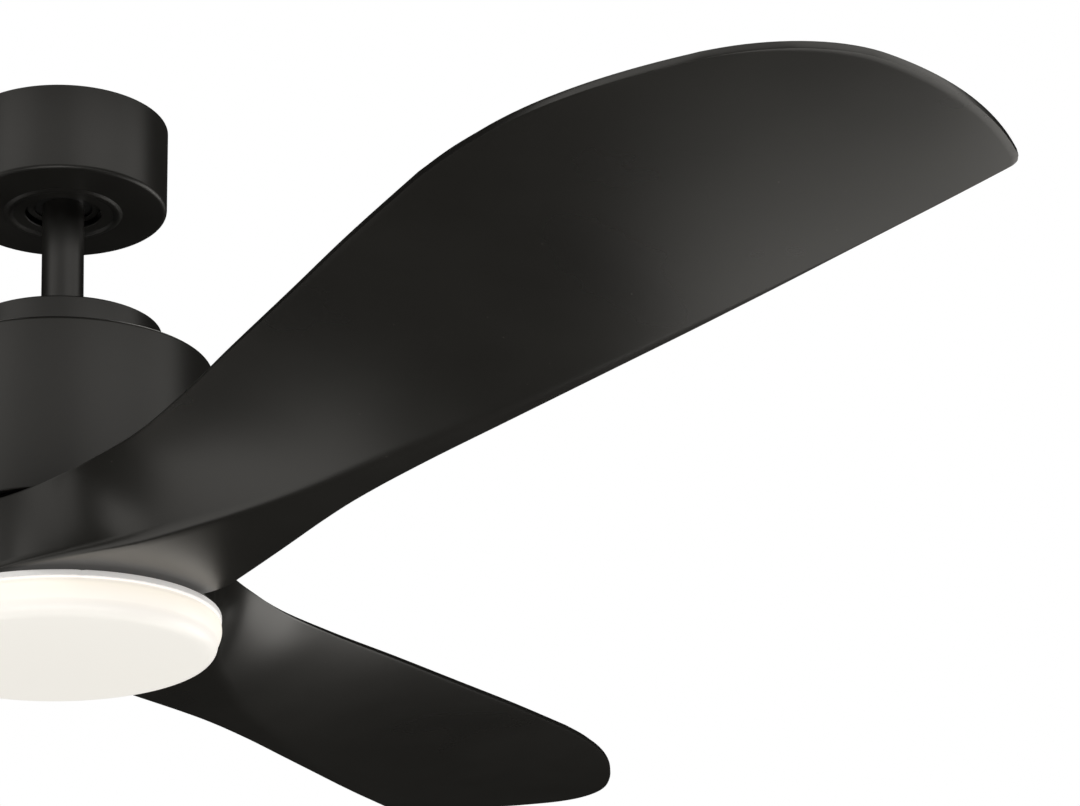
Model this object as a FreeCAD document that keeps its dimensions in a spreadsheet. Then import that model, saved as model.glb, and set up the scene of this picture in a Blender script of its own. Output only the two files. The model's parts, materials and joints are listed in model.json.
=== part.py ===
import FreeCAD, Part
import math
import os

import Sketcher
from FreeCAD import Placement, Rotation, Vector

# A three-bladed ceiling fan with a round light under its hub.
# Millimetres. The origin is the centre of the bracket on the ceiling. +Z points up, so the fan hangs
# below zero.

DIMENSIONS = {
    # hanger bracket, ball and canopy
    "plate_radius": 64.0,
    "plate_thick": 2.0,
    "box_screw_spacing": 89.0,
    "box_slot_width": 5.5,
    "box_slot_length": 17.0,
    "wire_hole_radius": 16.0,
    "wire_hole_offset": 42.0,
    "leg_inside": 32.0,
    "leg_thick": 3.0,
    "leg_width": 26.0,
    "ball_radius": 26.0,
    "ball_centre_z": -38.0,
    "ball_half_height": 17.0,
    "ball_screw_z": -31.0,
    "socket_clearance": 0.3,
    "socket_wall": 3.5,
    "socket_half_height": 18.0,
    "socket_rim": 4.0,
    "canopy_radius_top": 69.5,
    "canopy_radius_bottom": 68.5,
    "canopy_height": 60.0,
    "canopy_wall": 1.3,
    "canopy_opening": 25.0,
    "canopy_bead_radius": 36.0,
    "canopy_bead_thick": 2.4,
    "canopy_screw_z": -9.0,
    "tab_thick": 2.0,
    "receiver_length": 60.0,
    "receiver_width": 32.0,
    "receiver_height": 14.0,
    # downrod and coupling
    "rod_radius": 13.35,
    "rod_wall": 2.4,
    "rod_top_z": -19.0,
    "rod_bottom_z": -169.0,
    "cap_top_z": -148.0,
    "cap_radius": 65.0,
    "cap_wall": 1.2,
    "cap_hole_radius": 14.4,
    "coupling_radius": 19.5,
    "coupling_top_z": -152.0,
    "coupling_pin_z": -158.5,
    "coupling_screw_z": -164.5,
    "coupling_flange_radius": 46.0,
    "coupling_flange_thick": 3.0,
    "coupling_bolt_circle": 72.0,
    "pin_radius": 3.0,
    "pin_head_radius": 5.0,
    "pin_head_height": 2.5,
    "clip_wire_radius": 1.0,
    "clip_loop_radius": 2.6,
    "grub_radius": 2.5,
    "grub_length": 9.0,
    "grub_key_radius": 1.2,
    "grub_key_depth": 2.0,
    # motor
    "housing_top_z": -176.4,
    "housing_bottom_z": -290.0,
    "housing_radius": 98.2,
    "housing_wall": 1.5,
    "lip_height": 2.5,
    "lip_depth": 3.0,
    "shaft_radius": 9.0,
    "shaft_bore": 6.0,
    "shaft_top_z": -171.0,
    "shaft_bottom_z": -355.0,
    "bearing_bore": 9.04,
    "bearing_radius": 16.0,
    "bearing_width": 8.0,
    "stator_radius": 62.0,
    "stator_top_z": -212.0,
    "stator_height": 26.0,
    "magnet_inner": 63.0,
    "magnet_outer": 71.9,
    "rotor_inner": 72.0,
    "rotor_radius": 76.0,
    "rotor_top_z": -202.0,
    "rotor_bottom_z": -250.0,
    "rotor_wall": 4.0,
    "rotor_boss_height": 4.0,
    "hub_bolt_radius": 40.0,
    "board_radius": 80.0,
    "board_thick": 1.6,
    "board_part_height": 11.0,
    "board_top_z": -183.0,
    "coil_inner_radius": 32.0,
    "coil_length": 22.0,
    "coil_width": 12.8,
    "coil_window": 8.4,
    "coil_overhang": 4.0,
    # hub and blades
    "hub_radius": 88.0,
    "hub_wall": 4.0,
    "hub_flange_inner": 64.0,
    "blade_floor_z": -341.5,
    "root_thick": 5.0,
    "sheet_thick": 3.5,
    "blade_lead_z": -296.0,
    "blade_lead_drop": 15.3,
    "blade_trail_rise": 31.3,
    "blade_reference": 725.0,
    "root_inner": 62.0,
    "root_wall_inner": 94.5,
    "root_radius": 98.0,
    "blade_screw_circle": 152.0,
    "tip_length": 768.0,
    # light
    "ring_top_z": -343.0,
    "ring_bottom_z": -346.8,
    "ring_radius": 101.9,
    "pan_radius": 90.0,
    "pan_top_z": -345.0,
    "pan_thick": 1.5,
    "skirt_bottom_z": -352.0,
    "led_board_radius": 78.0,
    "led_board_inner": 18.0,
    "led_board_thick": 1.6,
    "led_screw_radius": 60.0,
    "chip_side": 3.0,
    "chip_height": 0.8,
    "nut_corner_radius": 14.0,
    "nut_height": 6.0,
    "driver_inner": 20.0,
    "driver_radius": 55.0,
    "driver_height": 20.0,
    "lens_shoulder_radius": 99.5,
    "lens_radius": 101.9,
    "lens_lower_radius": 99.3,
    "lens_side_bottom_z": -361.0,
    "lens_bottom_z": -370.0,
    "lens_edge_radius": 9.0,
    "lens_wall": 2.2,
}

# The blade in plan: distance from the axis, then the leading edge, the ridge and the trailing edge, each as
# a distance across the blade. The leading edge is on the negative side, because the fan turns clockwise.
BLADE_STATIONS = [
    (30.0, -93.6, -93.2, 18.0),
    (62.0, -79.5, -78.5, 37.0),
    (110.0, -69.5, -57.0, 56.0),
    (190.0, -66.2, -21.0, 44.5),
    (250.0, -73.9, -2.5, 36.4),
    (330.0, -90.4, 13.0, 34.3),
    (480.0, -122.2, 38.0, 45.0),
    (560.0, -138.4, 50.5, 54.0),
    (615.0, -141.9, 59.4, 61.5),
    (780.0, -141.9, 86.0, 88.0),
]
STATION_FIELDS = ("station", "lead", "ridge", "trail")
LEAD_POWER = 2.3
FLOOR_POWER = 3
TIP_STATION = 8

BLADE_AZIMUTHS = (-60.0, 60.0, 180.0)
ROOT_START = -88.0
ROOT_END = 31.5
ROOT_WALL_END = -50.0
BLADE_SCREW_ANGLES = (-74.0, -28.0, 18.0)
CANOPY_SCREW_AZIMUTHS = (25.0, 205.0)
STATOR_TEETH = 12
MAGNET_COUNT = 14
LED_RINGS = ((30.0, 8), (50.0, 14), (68.0, 18))
LUG_AZIMUTHS = (0.0, 120.0, 240.0)
BOARD_PARTS = ((20.0, 55.0, 8.0), (60.0, 60.0, 6.0), (100.0, 52.0, 6.0), (215.0, 56.0, 9.0))
NOTCH_AZIMUTH = -83.0
NOTCH_RADIUS = 1.5
HOLE_DEPTH = 80.0
PLATE_HOLE_DEPTH = 8.0

# Each kind of screw: head radius, head height, shank radius and shank length.
SCREWS = {
    "canopy": (4.0, 2.2, 2.0, 9.0),
    "coupling": (4.5, 3.0, 2.5, 9.0),
    "hub": (4.0, 2.6, 2.0, 7.8),
    "blade": (3.8, 1.0, 2.0, 9.5),
    "led_board": (3.6, 2.0, 2.0, 4.5),
}
SCREW_PLAY = 0.1

doc = FreeCAD.newDocument("ceiling_fan")
NODES = []


class Size:
    """A number together with the sheet expression that gives it."""

    def __init__(self, value, text):
        self.value = value
        self.text = text

    def __add__(self, other):
        other = as_size(other)
        return Size(self.value + other.value, f"({self.text} + {other.text})")

    def __sub__(self, other):
        other = as_size(other)
        return Size(self.value - other.value, f"({self.text} - {other.text})")

    def __mul__(self, factor):
        return Size(self.value * factor, f"({self.text} * {factor})")

    def __neg__(self):
        return Size(-self.value, f"(0 - {self.text})")


def as_size(number):
    return number if isinstance(number, Size) else Size(float(number), f"({float(number)})")


def dim(name):
    return Size(DIMENSIONS[name], f"dims.{name}")


def make_sheet():
    sheet = doc.addObject("Spreadsheet::Sheet", "dims")
    for row, (name, value) in enumerate(DIMENSIONS.items(), start=1):
        sheet.set(f"A{row}", name)
        sheet.set(f"B{row}", str(value))
        sheet.setAlias(f"B{row}", name)
    doc.recompute()


def add_stations_to_dimensions():
    for index, station in enumerate(BLADE_STATIONS):
        for field, value in zip(STATION_FIELDS, station):
            DIMENSIONS[f"blade_{field}_at_{index}"] = value


def node(item, name):
    item.Label = name
    NODES.append(item)
    return item


def bind(item, prop, size):
    item.setExpression(prop, as_size(size).text)


# ---- sketches and bodies -------------------------------------------------------------------------------

def new_body(name):
    return doc.addObject("PartDesign::Body", name)


def origin_feature(body, role):
    for feature in body.Origin.OriginFeatures:
        if feature.Role == role:
            return feature
    raise ValueError(role)


def new_sketch(body, name, role, turn=0.0):
    """A sketch on an origin plane, turned about the plane's own vertical when turn is given."""
    sketch = body.newObject("Sketcher::SketchObject", name)
    sketch.AttachmentSupport = [(origin_feature(body, role), "")]
    sketch.MapMode = "FlatFace"
    if turn:
        sketch.AttachmentOffset = Placement(Vector(0, 0, 0), Rotation(Vector(0, 1, 0), turn))
    return sketch


def pin_point(sketch, geometry, position, x, y):
    """Hold one end of a line or arc, or a circle's centre, at x, y from the sketch's origin."""
    for kind, axis, size in (("DistanceX", -2, as_size(x)), ("DistanceY", -1, as_size(y))):
        if size.value == 0:
            sketch.addConstraint(Sketcher.Constraint("PointOnObject", geometry, position, axis))
        else:
            index = sketch.addConstraint(Sketcher.Constraint(kind, -1, 1, geometry, position, size.value))
            sketch.setExpression(f"Constraints[{index}]", size.text)


def arc_middle(start, end, radius):
    """The point half-way along the arc that bulges to the left of the line from start to end."""
    chord = end - start
    half = chord.Length / 2
    rise = abs(radius) - math.sqrt(max(radius * radius - half * half, 0.0))
    side = Vector(-chord.y, chord.x, 0).normalize() * math.copysign(rise, radius)
    return (start + end) * 0.5 + side


def draw_outline(sketch, points, arcs=None):
    """A closed outline. points are (x, y) pairs; arcs gives the radius of the arc that leaves a point."""
    arcs = arcs or {}
    corners = [Vector(as_size(x).value, as_size(y).value, 0) for x, y in points]
    for index, start in enumerate(corners):
        end = corners[(index + 1) % len(corners)]
        if index in arcs:
            bulge = as_size(arcs[index])
            piece = Part.Arc(start, arc_middle(start, end, bulge.value), end)
        else:
            piece = Part.LineSegment(start, end)
        sketch.addGeometry(piece, False)
    first_ends = []
    last_ends = []
    for index, start in enumerate(corners):
        is_start = sketch.getPoint(index, 1).isEqual(start, 1e-6)
        first_ends.append(1 if is_start else 2)
        last_ends.append(2 if is_start else 1)
    count = len(corners)
    for index in range(count):
        following = (index + 1) % count
        sketch.addConstraint(Sketcher.Constraint(
            "Coincident", index, last_ends[index], following, first_ends[following]))
    for index, (x, y) in enumerate(points):
        pin_point(sketch, index, first_ends[index], x, y)
    for index, radius in arcs.items():
        size = as_size(radius)
        positive = size if size.value > 0 else -size
        following = (index + 1) % count
        if abs((corners[following] - corners[index]).Length - 2 * positive.value) < 1e-6:
            hold_half_round(sketch, index, as_size(points[index][0]), as_size(points[following][0]))
            continue
        constraint = sketch.addConstraint(Sketcher.Constraint("Radius", index, positive.value))
        sketch.setExpression(f"Constraints[{constraint}]", positive.text)


def hold_half_round(sketch, index, start_x, end_x):
    """Hold the centre of a half-round end, whose ends are one above the other, between its ends."""
    centre = (start_x + end_x) * 0.5
    constraint = sketch.addConstraint(Sketcher.Constraint("DistanceX", -1, 1, index, 3, centre.value))
    sketch.setExpression(f"Constraints[{constraint}]", centre.text)


def draw_circle(sketch, x, y, radius):
    x, y, radius = as_size(x), as_size(y), as_size(radius)
    circle = Part.Circle(Vector(x.value, y.value, 0), Vector(0, 0, 1), radius.value)
    geometry = sketch.addGeometry(circle, False)
    pin_point(sketch, geometry, 3, x, y)
    constraint = sketch.addConstraint(Sketcher.Constraint("Radius", geometry, radius.value))
    sketch.setExpression(f"Constraints[{constraint}]", radius.text)


def revolve(body, name, points, arcs=None, turn=0.0, angle=360.0):
    """Turn an outline of (radius, height) points about the fan's axis; a part turn is centred on turn."""
    sketch = new_sketch(body, f"{name}_outline", "XZ_Plane", turn)
    draw_outline(sketch, points, arcs)
    feature = body.newObject("PartDesign::Revolution", name)
    feature.Profile = sketch
    feature.ReferenceAxis = (sketch, ["V_Axis"])
    feature.Angle = angle
    feature.Midplane = angle < 360.0
    doc.recompute()
    return feature


def cut_through(body, name, role, draw, midplane=True, depth=None):
    """Cut what draw(sketch) outlines right through the body, and check that it took material away."""
    before = body.Shape.Volume
    sketch = new_sketch(body, f"{name}_outline", role)
    draw(sketch)
    pocket = body.newObject("PartDesign::Pocket", name)
    pocket.Profile = sketch
    pocket.Type = "Length"
    pocket.Length = depth or 2000.0
    pocket.Midplane = midplane
    doc.recompute()
    if not pocket.Shape.Volume < before - 1e-3:
        raise ValueError(f"{name} cut nothing")
    return pocket


def side_hole(body, name, azimuth, z, radius):
    """A round hole from the axis outwards at one azimuth, through a wall that stands round the axis."""
    before = body.Shape.Volume
    sketch = new_sketch(body, f"{name}_outline", "YZ_Plane", azimuth)
    draw_circle(sketch, 0, z, radius)
    pocket = body.newObject("PartDesign::Pocket", name)
    pocket.Profile = sketch
    pocket.Length = HOLE_DEPTH
    pocket.Reversed = True
    doc.recompute()
    if not pocket.Shape.Volume < before - 1:
        raise ValueError(f"{name} cut nothing")


def screw_hole_radius(kind):
    return SCREWS[kind][2] + SCREW_PLAY


def polar_pattern(body, name, feature, count):
    pattern = body.newObject("PartDesign::PolarPattern", name)
    pattern.Originals = [feature]
    pattern.Axis = (origin_feature(body, "Z_Axis"), [""])
    pattern.Angle = 360.0
    pattern.Occurrences = count
    body.Tip = pattern
    doc.recompute()
    return pattern


def round_edges(body, name, radius, wanted):
    """Round the edges of the body that wanted(edge) picks."""
    base = body.Tip
    names = [f"Edge{index}" for index, edge in enumerate(base.Shape.Edges, start=1) if wanted(edge)]
    fillet = body.newObject("PartDesign::Fillet", name)
    fillet.Base = (base, names)
    bind(fillet, "Radius", radius)
    doc.recompute()
    return fillet


def circle_at(radius, z):
    """Picks the whole circles of one radius at one height."""
    def wanted(edge):
        return (isinstance(edge.Curve, Part.Circle) and abs(edge.Curve.Radius - radius.value) < 0.01
                and abs(edge.Curve.Center.z - z.value) < 0.01)
    return wanted


def ring_body(name, outer, inner, top, bottom):
    """A plain ring about the axis, as a body."""
    body = new_body(name)
    revolve(body, f"{name}_ring", [(inner, bottom), (outer, bottom), (outer, top), (inner, top)])
    return body


# ---- simple solids -------------------------------------------------------------------------------------

def cylinder(name, radius, height, placement=None, sweep=360.0):
    solid = doc.addObject("Part::Cylinder", name)
    bind(solid, "Radius", radius)
    bind(solid, "Height", height)
    solid.Angle = sweep
    solid.Placement = placement or Placement()
    return solid


def box(name, length, width, height, placement):
    solid = doc.addObject("Part::Box", name)
    bind(solid, "Length", length)
    bind(solid, "Width", width)
    bind(solid, "Height", height)
    solid.Placement = placement
    return solid


def cut(name, base, tool):
    result = doc.addObject("Part::Cut", name)
    result.Base = base
    result.Tool = tool
    return result


def fuse(name, pieces):
    result = doc.addObject("Part::MultiFuse", name)
    result.Shapes = pieces
    return result


def group(name, pieces):
    result = doc.addObject("Part::Compound", name)
    result.Links = pieces
    return result


def about_axis(azimuth, placement):
    """The placement turned about the fan's axis."""
    return Placement(Vector(0, 0, 0), Rotation(Vector(0, 0, 1), azimuth)).multiply(placement)


def pointing(direction, position):
    """A placement whose own +Z points along direction."""
    return Placement(position, Rotation(Vector(0, 0, 1), direction))


def screw(name, kind, placement):
    """A pan-head screw whose head seats at the placement's origin; the shank runs along its +Z."""
    head_radius, head_height, shank_radius, shank_length = SCREWS[kind]
    head_place = placement.multiply(Placement(Vector(0, 0, -head_height), Rotation()))
    head = cylinder(f"{name}_head", head_radius, head_height, head_place)
    recess = cylinder(f"{name}_recess", head_radius * 0.4, head_height * 0.6, head_place)
    shank = cylinder(f"{name}_shank", shank_radius, shank_length, placement)
    whole = fuse(f"{name}_solid", [head, shank])
    return cut(name, whole, recess)


def grub_screw(name, direction, position):
    """A headless screw with a hexagon key's hole in its outer end, drawn round."""
    length = dim("grub_length")
    grub = cylinder(f"{name}_body", dim("grub_radius"), length, pointing(direction, position))
    key_start = position + direction * (length - dim("grub_key_depth")).value
    key_place = pointing(direction, key_start)
    key = cylinder(f"{name}_key", dim("grub_key_radius"), dim("grub_key_depth") * 2, key_place)
    return cut(name, grub, key)


# ---- what is fixed to the ceiling ----------------------------------------------------------------------

def box_slot(sketch):
    """The slot for one of the two screws that hold the bracket to the outlet box."""
    half = dim("box_screw_spacing") * 0.5
    radius = dim("box_slot_width") * 0.5
    reach = (dim("box_slot_length") - dim("box_slot_width")) * 0.5
    near = half - reach
    far = half + reach
    points = [(near, -radius), (far, -radius), (far, radius), (near, radius)]
    draw_outline(sketch, points, {1: -radius, 3: -radius})


def ceiling_bracket():
    """The round plate that screws to the outlet box, with two turned-down tabs for the canopy's screws."""
    body = new_body("ceiling_bracket")
    plate = dim("plate_radius")
    thick = dim("plate_thick")
    revolve(body, "bracket_plate", [(0, -thick), (plate, -thick), (plate, 0), (0, 0)])
    for index, azimuth in enumerate(CANOPY_SCREW_AZIMUTHS):
        inner = plate - dim("tab_thick")
        bottom = dim("canopy_screw_z") - 6
        revolve(body, f"tab_{index}", [(inner, bottom), (plate, bottom), (plate, -thick), (inner, -thick)],
                turn=azimuth, angle=14.0)
        side_hole(body, f"tab_hole_{index}", azimuth, dim("canopy_screw_z"), screw_hole_radius("canopy"))
    slot = cut_through(body, "box_screw_slot", "XY_Plane", box_slot, depth=PLATE_HOLE_DEPTH)
    polar_pattern(body, "box_screw_slots", slot, 2)
    cut_through(body, "wire_hole", "XY_Plane",
                lambda sketch: draw_circle(sketch, 0, dim("wire_hole_offset"), dim("wire_hole_radius")),
                depth=PLATE_HOLE_DEPTH)
    return node(body, "ceiling_bracket")


def hanger_yoke():
    """Two straps below the bracket's plate, and between them the cup that the hanger ball sits in."""
    body = new_body("hanger_yoke")
    yoke_legs(body)
    yoke_socket(body)
    return node(body, "hanger_yoke")


def yoke_legs(body):
    inside = dim("leg_inside")
    outside = inside + dim("leg_thick")
    bottom = dim("ball_centre_z") - dim("socket_rim")
    top = -dim("plate_thick")
    for side, name in ((1, "leg_right"), (-1, "leg_left")):
        sketch = new_sketch(body, f"{name}_outline", "XZ_Plane")
        near = inside * side
        far = outside * side
        draw_outline(sketch, [(near, bottom), (far, bottom), (far, top), (near, top)])
        pad = body.newObject("PartDesign::Pad", name)
        pad.Profile = sketch
        bind(pad, "Length", dim("leg_width"))
        pad.Midplane = True
        doc.recompute()
        if side == 1:
            join_legs(body, outside, bottom)


def join_legs(body, outside, bottom):
    """The flat flange at the legs' feet, which the socket hangs in."""
    top = bottom + dim("socket_rim")
    inner = dim("ball_radius") + dim("socket_clearance")
    revolve(body, "yoke_flange", [(inner, bottom), (outside, bottom), (outside, top), (inner, top)])


def yoke_socket(body):
    """The cup, open at its foot, with a way in from the side for the rod."""
    inner = dim("ball_radius") + dim("socket_clearance")
    outer = inner + dim("socket_wall")
    top = dim("ball_centre_z")
    bottom = top - dim("socket_half_height")
    drop = dim("socket_half_height").value
    mouth = as_size(math.sqrt(inner.value ** 2 - drop ** 2))
    outer_mouth = as_size(math.sqrt(outer.value ** 2 - drop ** 2))
    rim = dim("socket_rim")
    below_rim = as_size(math.sqrt(outer.value ** 2 - rim.value ** 2))
    points = [(mouth, bottom), (outer_mouth, bottom), (below_rim, top - rim), (outer, top), (inner, top)]
    revolve(body, "socket", points, {1: -outer, 4: inner})
    before = body.Shape.Volume
    half = dim("rod_radius") + 1.0
    far = dim("leg_inside") + dim("leg_thick") + 2.0
    sketch = new_sketch(body, "side_way_outline", "XY_Plane")
    draw_outline(sketch, [(-half, 0), (half, 0), (half, -far), (-half, -far)])
    bind(sketch, "AttachmentOffset.Base.z", bottom - 2)
    pocket = body.newObject("PartDesign::Pocket", "side_way")
    pocket.Profile = sketch
    pocket.Reversed = True
    bind(pocket, "Length", dim("socket_half_height") + 4)
    doc.recompute()
    if not pocket.Shape.Volume < before - 1:
        raise ValueError("side_way cut nothing")


def canopy():
    body = new_body("canopy")
    top_radius = dim("canopy_radius_top")
    bottom_radius = dim("canopy_radius_bottom")
    wall = dim("canopy_wall")
    bottom = -dim("canopy_height")
    bead = dim("canopy_bead_radius")
    half_bead = dim("canopy_bead_thick")
    opening = dim("canopy_opening")
    points = [(opening, bottom), (bead - half_bead, bottom), (bead + half_bead, bottom),
              (bottom_radius, bottom), (top_radius, 0), (top_radius - wall, 0),
              (bottom_radius - wall, bottom + wall), (opening, bottom + wall)]
    revolve(body, "canopy_shell", points, {1: -half_bead * 1.15})
    round_edges(body, "canopy_lower_edge", 1.2, circle_at(bottom_radius, bottom))
    for index, azimuth in enumerate(CANOPY_SCREW_AZIMUTHS):
        side_hole(body, f"canopy_hole_{index}", azimuth, dim("canopy_screw_z"), screw_hole_radius("canopy"))
    return node(body, "canopy")


def canopy_screws():
    screws = []
    for index, azimuth in enumerate(CANOPY_SCREW_AZIMUTHS):
        seat = Vector(dim("canopy_radius_top").value + 0.1, 0, dim("canopy_screw_z").value)
        place = about_axis(azimuth, pointing(Vector(-1, 0, 0), seat))
        screws.append(screw(f"canopy_screw_{index}", "canopy", place))
    return node(group("canopy_screws", screws), "canopy_screws")


def receiver():
    """The remote control's receiver, a flat box under the bracket's plate."""
    length = dim("receiver_length")
    width = dim("receiver_width")
    height = dim("receiver_height")
    corner = Vector(-length.value / 2, -width.value / 2, -dim("plate_thick").value - height.value)
    case = box("receiver_case", length, width, height, Placement(corner, Rotation()))
    rounded = doc.addObject("Part::Fillet", "receiver_module")
    rounded.Base = case
    doc.recompute()
    uprights = [index for index, edge in enumerate(case.Shape.Edges, start=1)
                if abs(edge.Vertexes[0].Z - edge.Vertexes[-1].Z) > 1]
    rounded.Edges = [(index, 2.0, 2.0) for index in uprights]
    return node(rounded, "receiver_module")


# ---- hanger ball, downrod and coupling -----------------------------------------------------------------

def hanger_ball():
    body = new_body("hanger_ball")
    radius = dim("ball_radius")
    centre = dim("ball_centre_z")
    half = dim("ball_half_height")
    end = as_size(math.sqrt(radius.value ** 2 - half.value ** 2))
    bore = dim("rod_radius")
    points = [(bore, centre - half), (end, centre - half), (end, centre + half), (bore, centre + half)]
    revolve(body, "ball", points, {1: -radius})
    cut_through(body, "ball_pin_hole", "YZ_Plane",
                lambda sketch: draw_circle(sketch, 0, centre, dim("pin_radius")))
    cut_through(body, "ball_screw_hole", "XZ_Plane",
                lambda sketch: draw_circle(sketch, 0, dim("ball_screw_z"), dim("grub_radius")),
                midplane=False)
    return node(body, "hanger_ball")


def downrod():
    body = ring_body("downrod", dim("rod_radius"), dim("rod_radius") - dim("rod_wall"),
                     dim("rod_top_z"), dim("rod_bottom_z"))
    cut_through(body, "rod_pin_hole", "YZ_Plane",
                lambda sketch: draw_circle(sketch, 0, dim("ball_centre_z"), dim("pin_radius")))
    cut_through(body, "rod_lower_hole", "XZ_Plane",
                lambda sketch: draw_circle(sketch, 0, dim("coupling_pin_z"), dim("pin_radius")))
    return node(body, "downrod")


def ball_cross_pin():
    """The pin through the ball and the rod, on the line that the fan swings about."""
    length = dim("ball_radius") * 2 - 3
    place = pointing(Vector(1, 0, 0), Vector(-length.value / 2, 0, dim("ball_centre_z").value))
    return node(cylinder("ball_cross_pin", dim("pin_radius"), length, place), "ball_cross_pin")


def ball_set_screw():
    start = Vector(0, dim("rod_radius").value, dim("ball_screw_z").value)
    return node(grub_screw("ball_set_screw", Vector(0, 1, 0), start), "ball_set_screw")


def coupling():
    """The collar on top of the motor that takes the downrod, with a bolting flange at its foot."""
    body = new_body("downrod_coupling")
    outer = dim("coupling_radius")
    flange = dim("coupling_flange_radius")
    floor = dim("housing_top_z")
    bore = dim("rod_radius")
    shaft = dim("shaft_radius")
    seat = dim("rod_bottom_z") - 0.5
    points = [(shaft, floor), (flange, floor), (flange, floor + dim("coupling_flange_thick")),
              (outer, floor + dim("coupling_flange_thick")), (outer, dim("coupling_top_z")),
              (bore, dim("coupling_top_z")), (bore, seat), (shaft, seat)]
    revolve(body, "collar", points)
    cut_through(body, "collar_pin_hole", "XZ_Plane",
                lambda sketch: draw_circle(sketch, 0, dim("coupling_pin_z"), dim("pin_radius")))
    cut_through(body, "collar_screw_hole", "YZ_Plane",
                lambda sketch: draw_circle(sketch, 0, dim("coupling_screw_z"), dim("grub_radius")))
    hole = cut_through(body, "flange_hole", "XY_Plane", coupling_bolt_hole)
    polar_pattern(body, "flange_holes", hole, 4)
    return node(body, "downrod_coupling")


def coupling_bolt_hole(sketch):
    draw_circle(sketch, dim("coupling_bolt_circle") * 0.5, 0, screw_hole_radius("coupling"))


def coupling_pin():
    """The pin through the coupling and the rod, with a head at one end and an eye at the other."""
    reach = dim("coupling_radius").value
    eye_y = reach + 4
    z = dim("coupling_pin_z").value
    shank = cylinder("coupling_pin_shank", dim("pin_radius"), reach * 2 + 8,
                     pointing(Vector(0, 1, 0), Vector(0, -reach - 1, z)))
    head_start = Vector(0, -reach - 1 - dim("pin_head_height").value, z)
    head = cylinder("coupling_pin_head", dim("pin_head_radius"), dim("pin_head_height"),
                    pointing(Vector(0, 1, 0), head_start))
    whole = fuse("coupling_pin_solid", [shank, head])
    eye = cylinder("coupling_pin_eye", dim("clip_wire_radius") + SCREW_PLAY, 10.0,
                   pointing(Vector(0, 0, 1), Vector(0, eye_y, z - 5)))
    return node(cut("coupling_pin", whole, eye), "coupling_pin")


def cotter_pin():
    """A hairpin clip through the eye of the coupling's pin, with its loop hanging down."""
    y = dim("coupling_radius").value + 4
    z = dim("coupling_pin_z").value
    half = 6.5
    leg_place = pointing(Vector(0, 0, 1), Vector(0, y, z - half))
    leg = cylinder("cotter_leg", dim("clip_wire_radius"), half * 2, leg_place)
    loop = doc.addObject("Part::Torus", "cotter_loop")
    bind(loop, "Radius1", dim("clip_loop_radius"))
    bind(loop, "Radius2", dim("clip_wire_radius"))
    below = half - dim("clip_wire_radius").value + dim("clip_loop_radius").value
    loop.Placement = Placement(Vector(0, y, z - below), Rotation(Vector(1, 0, 0), 90))
    return node(fuse("cotter_pin", [leg, loop]), "cotter_pin")


def coupling_set_screws():
    screws = []
    for index, side in enumerate((1, -1)):
        start = Vector(side * dim("rod_radius").value, 0, dim("coupling_screw_z").value)
        screws.append(grub_screw(f"coupling_set_screw_{index}", Vector(side, 0, 0), start))
    return node(group("coupling_set_screws", screws), "coupling_set_screws")


def coupling_bolts():
    bolts = []
    seat_z = (dim("housing_top_z") + dim("coupling_flange_thick")).value
    for index in range(4):
        seat = Vector(dim("coupling_bolt_circle").value / 2, 0, seat_z)
        place = about_axis(90.0 * index, pointing(Vector(0, 0, -1), seat))
        bolts.append(screw(f"coupling_bolt_{index}", "coupling", place))
    return node(group("coupling_bolts", bolts), "coupling_bolts")


def coupling_cover():
    """The shallow cap that hides the coupling."""
    body = new_body("coupling_cover")
    top = dim("cap_top_z")
    floor = dim("housing_top_z")
    radius = dim("cap_radius")
    wall = dim("cap_wall")
    hole = dim("cap_hole_radius")
    points = [(radius - wall, floor), (radius, floor), (radius, top), (hole, top), (hole, top - wall),
              (radius - wall, top - wall)]
    revolve(body, "cap_shell", points)
    round_edges(body, "cap_top_edge", 0.8, circle_at(radius, top))
    return node(body, "coupling_cover")


# ---- motor ---------------------------------------------------------------------------------------------

def motor_housing():
    body = new_body("motor_housing")
    top = dim("housing_top_z")
    bottom = dim("housing_bottom_z")
    radius = dim("housing_radius")
    wall = dim("housing_wall")
    inner = radius - wall
    lip = inner - dim("lip_depth")
    lip_top = bottom + dim("lip_height")
    shaft = dim("shaft_radius")
    points = [(lip, bottom), (radius, bottom), (radius, top), (shaft, top), (shaft, top - wall),
              (inner, top - wall), (inner, lip_top), (lip, lip_top)]
    revolve(body, "housing_shell", points)
    round_edges(body, "housing_top_edge", 1.0, circle_at(radius, top))
    hole = cut_through(body, "housing_hole", "XY_Plane", coupling_bolt_hole)
    polar_pattern(body, "housing_holes", hole, 4)
    return node(body, "motor_housing")


def motor_shaft():
    body = ring_body("motor_shaft", dim("shaft_radius"), dim("shaft_bore"), dim("shaft_top_z"),
                     dim("shaft_bottom_z"))
    return node(body, "motor_shaft")


def controller_board():
    """The motor's control board, with its capacitors and its choke under it."""
    top = dim("board_top_z")
    underside = top - dim("board_thick")
    body = ring_body("controller_board", dim("board_radius"), dim("shaft_radius"), top, underside)
    sketch = new_sketch(body, "board_parts_outline", "XY_Plane")
    bind(sketch, "AttachmentOffset.Base.z", underside)
    for azimuth, distance, radius in BOARD_PARTS:
        turned = math.radians(azimuth)
        draw_circle(sketch, distance * math.cos(turned), distance * math.sin(turned), radius)
    pad = body.newObject("PartDesign::Pad", "board_parts")
    pad.Profile = sketch
    bind(pad, "Length", dim("board_part_height"))
    pad.Reversed = True
    doc.recompute()
    return node(body, "controller_board")


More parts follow.
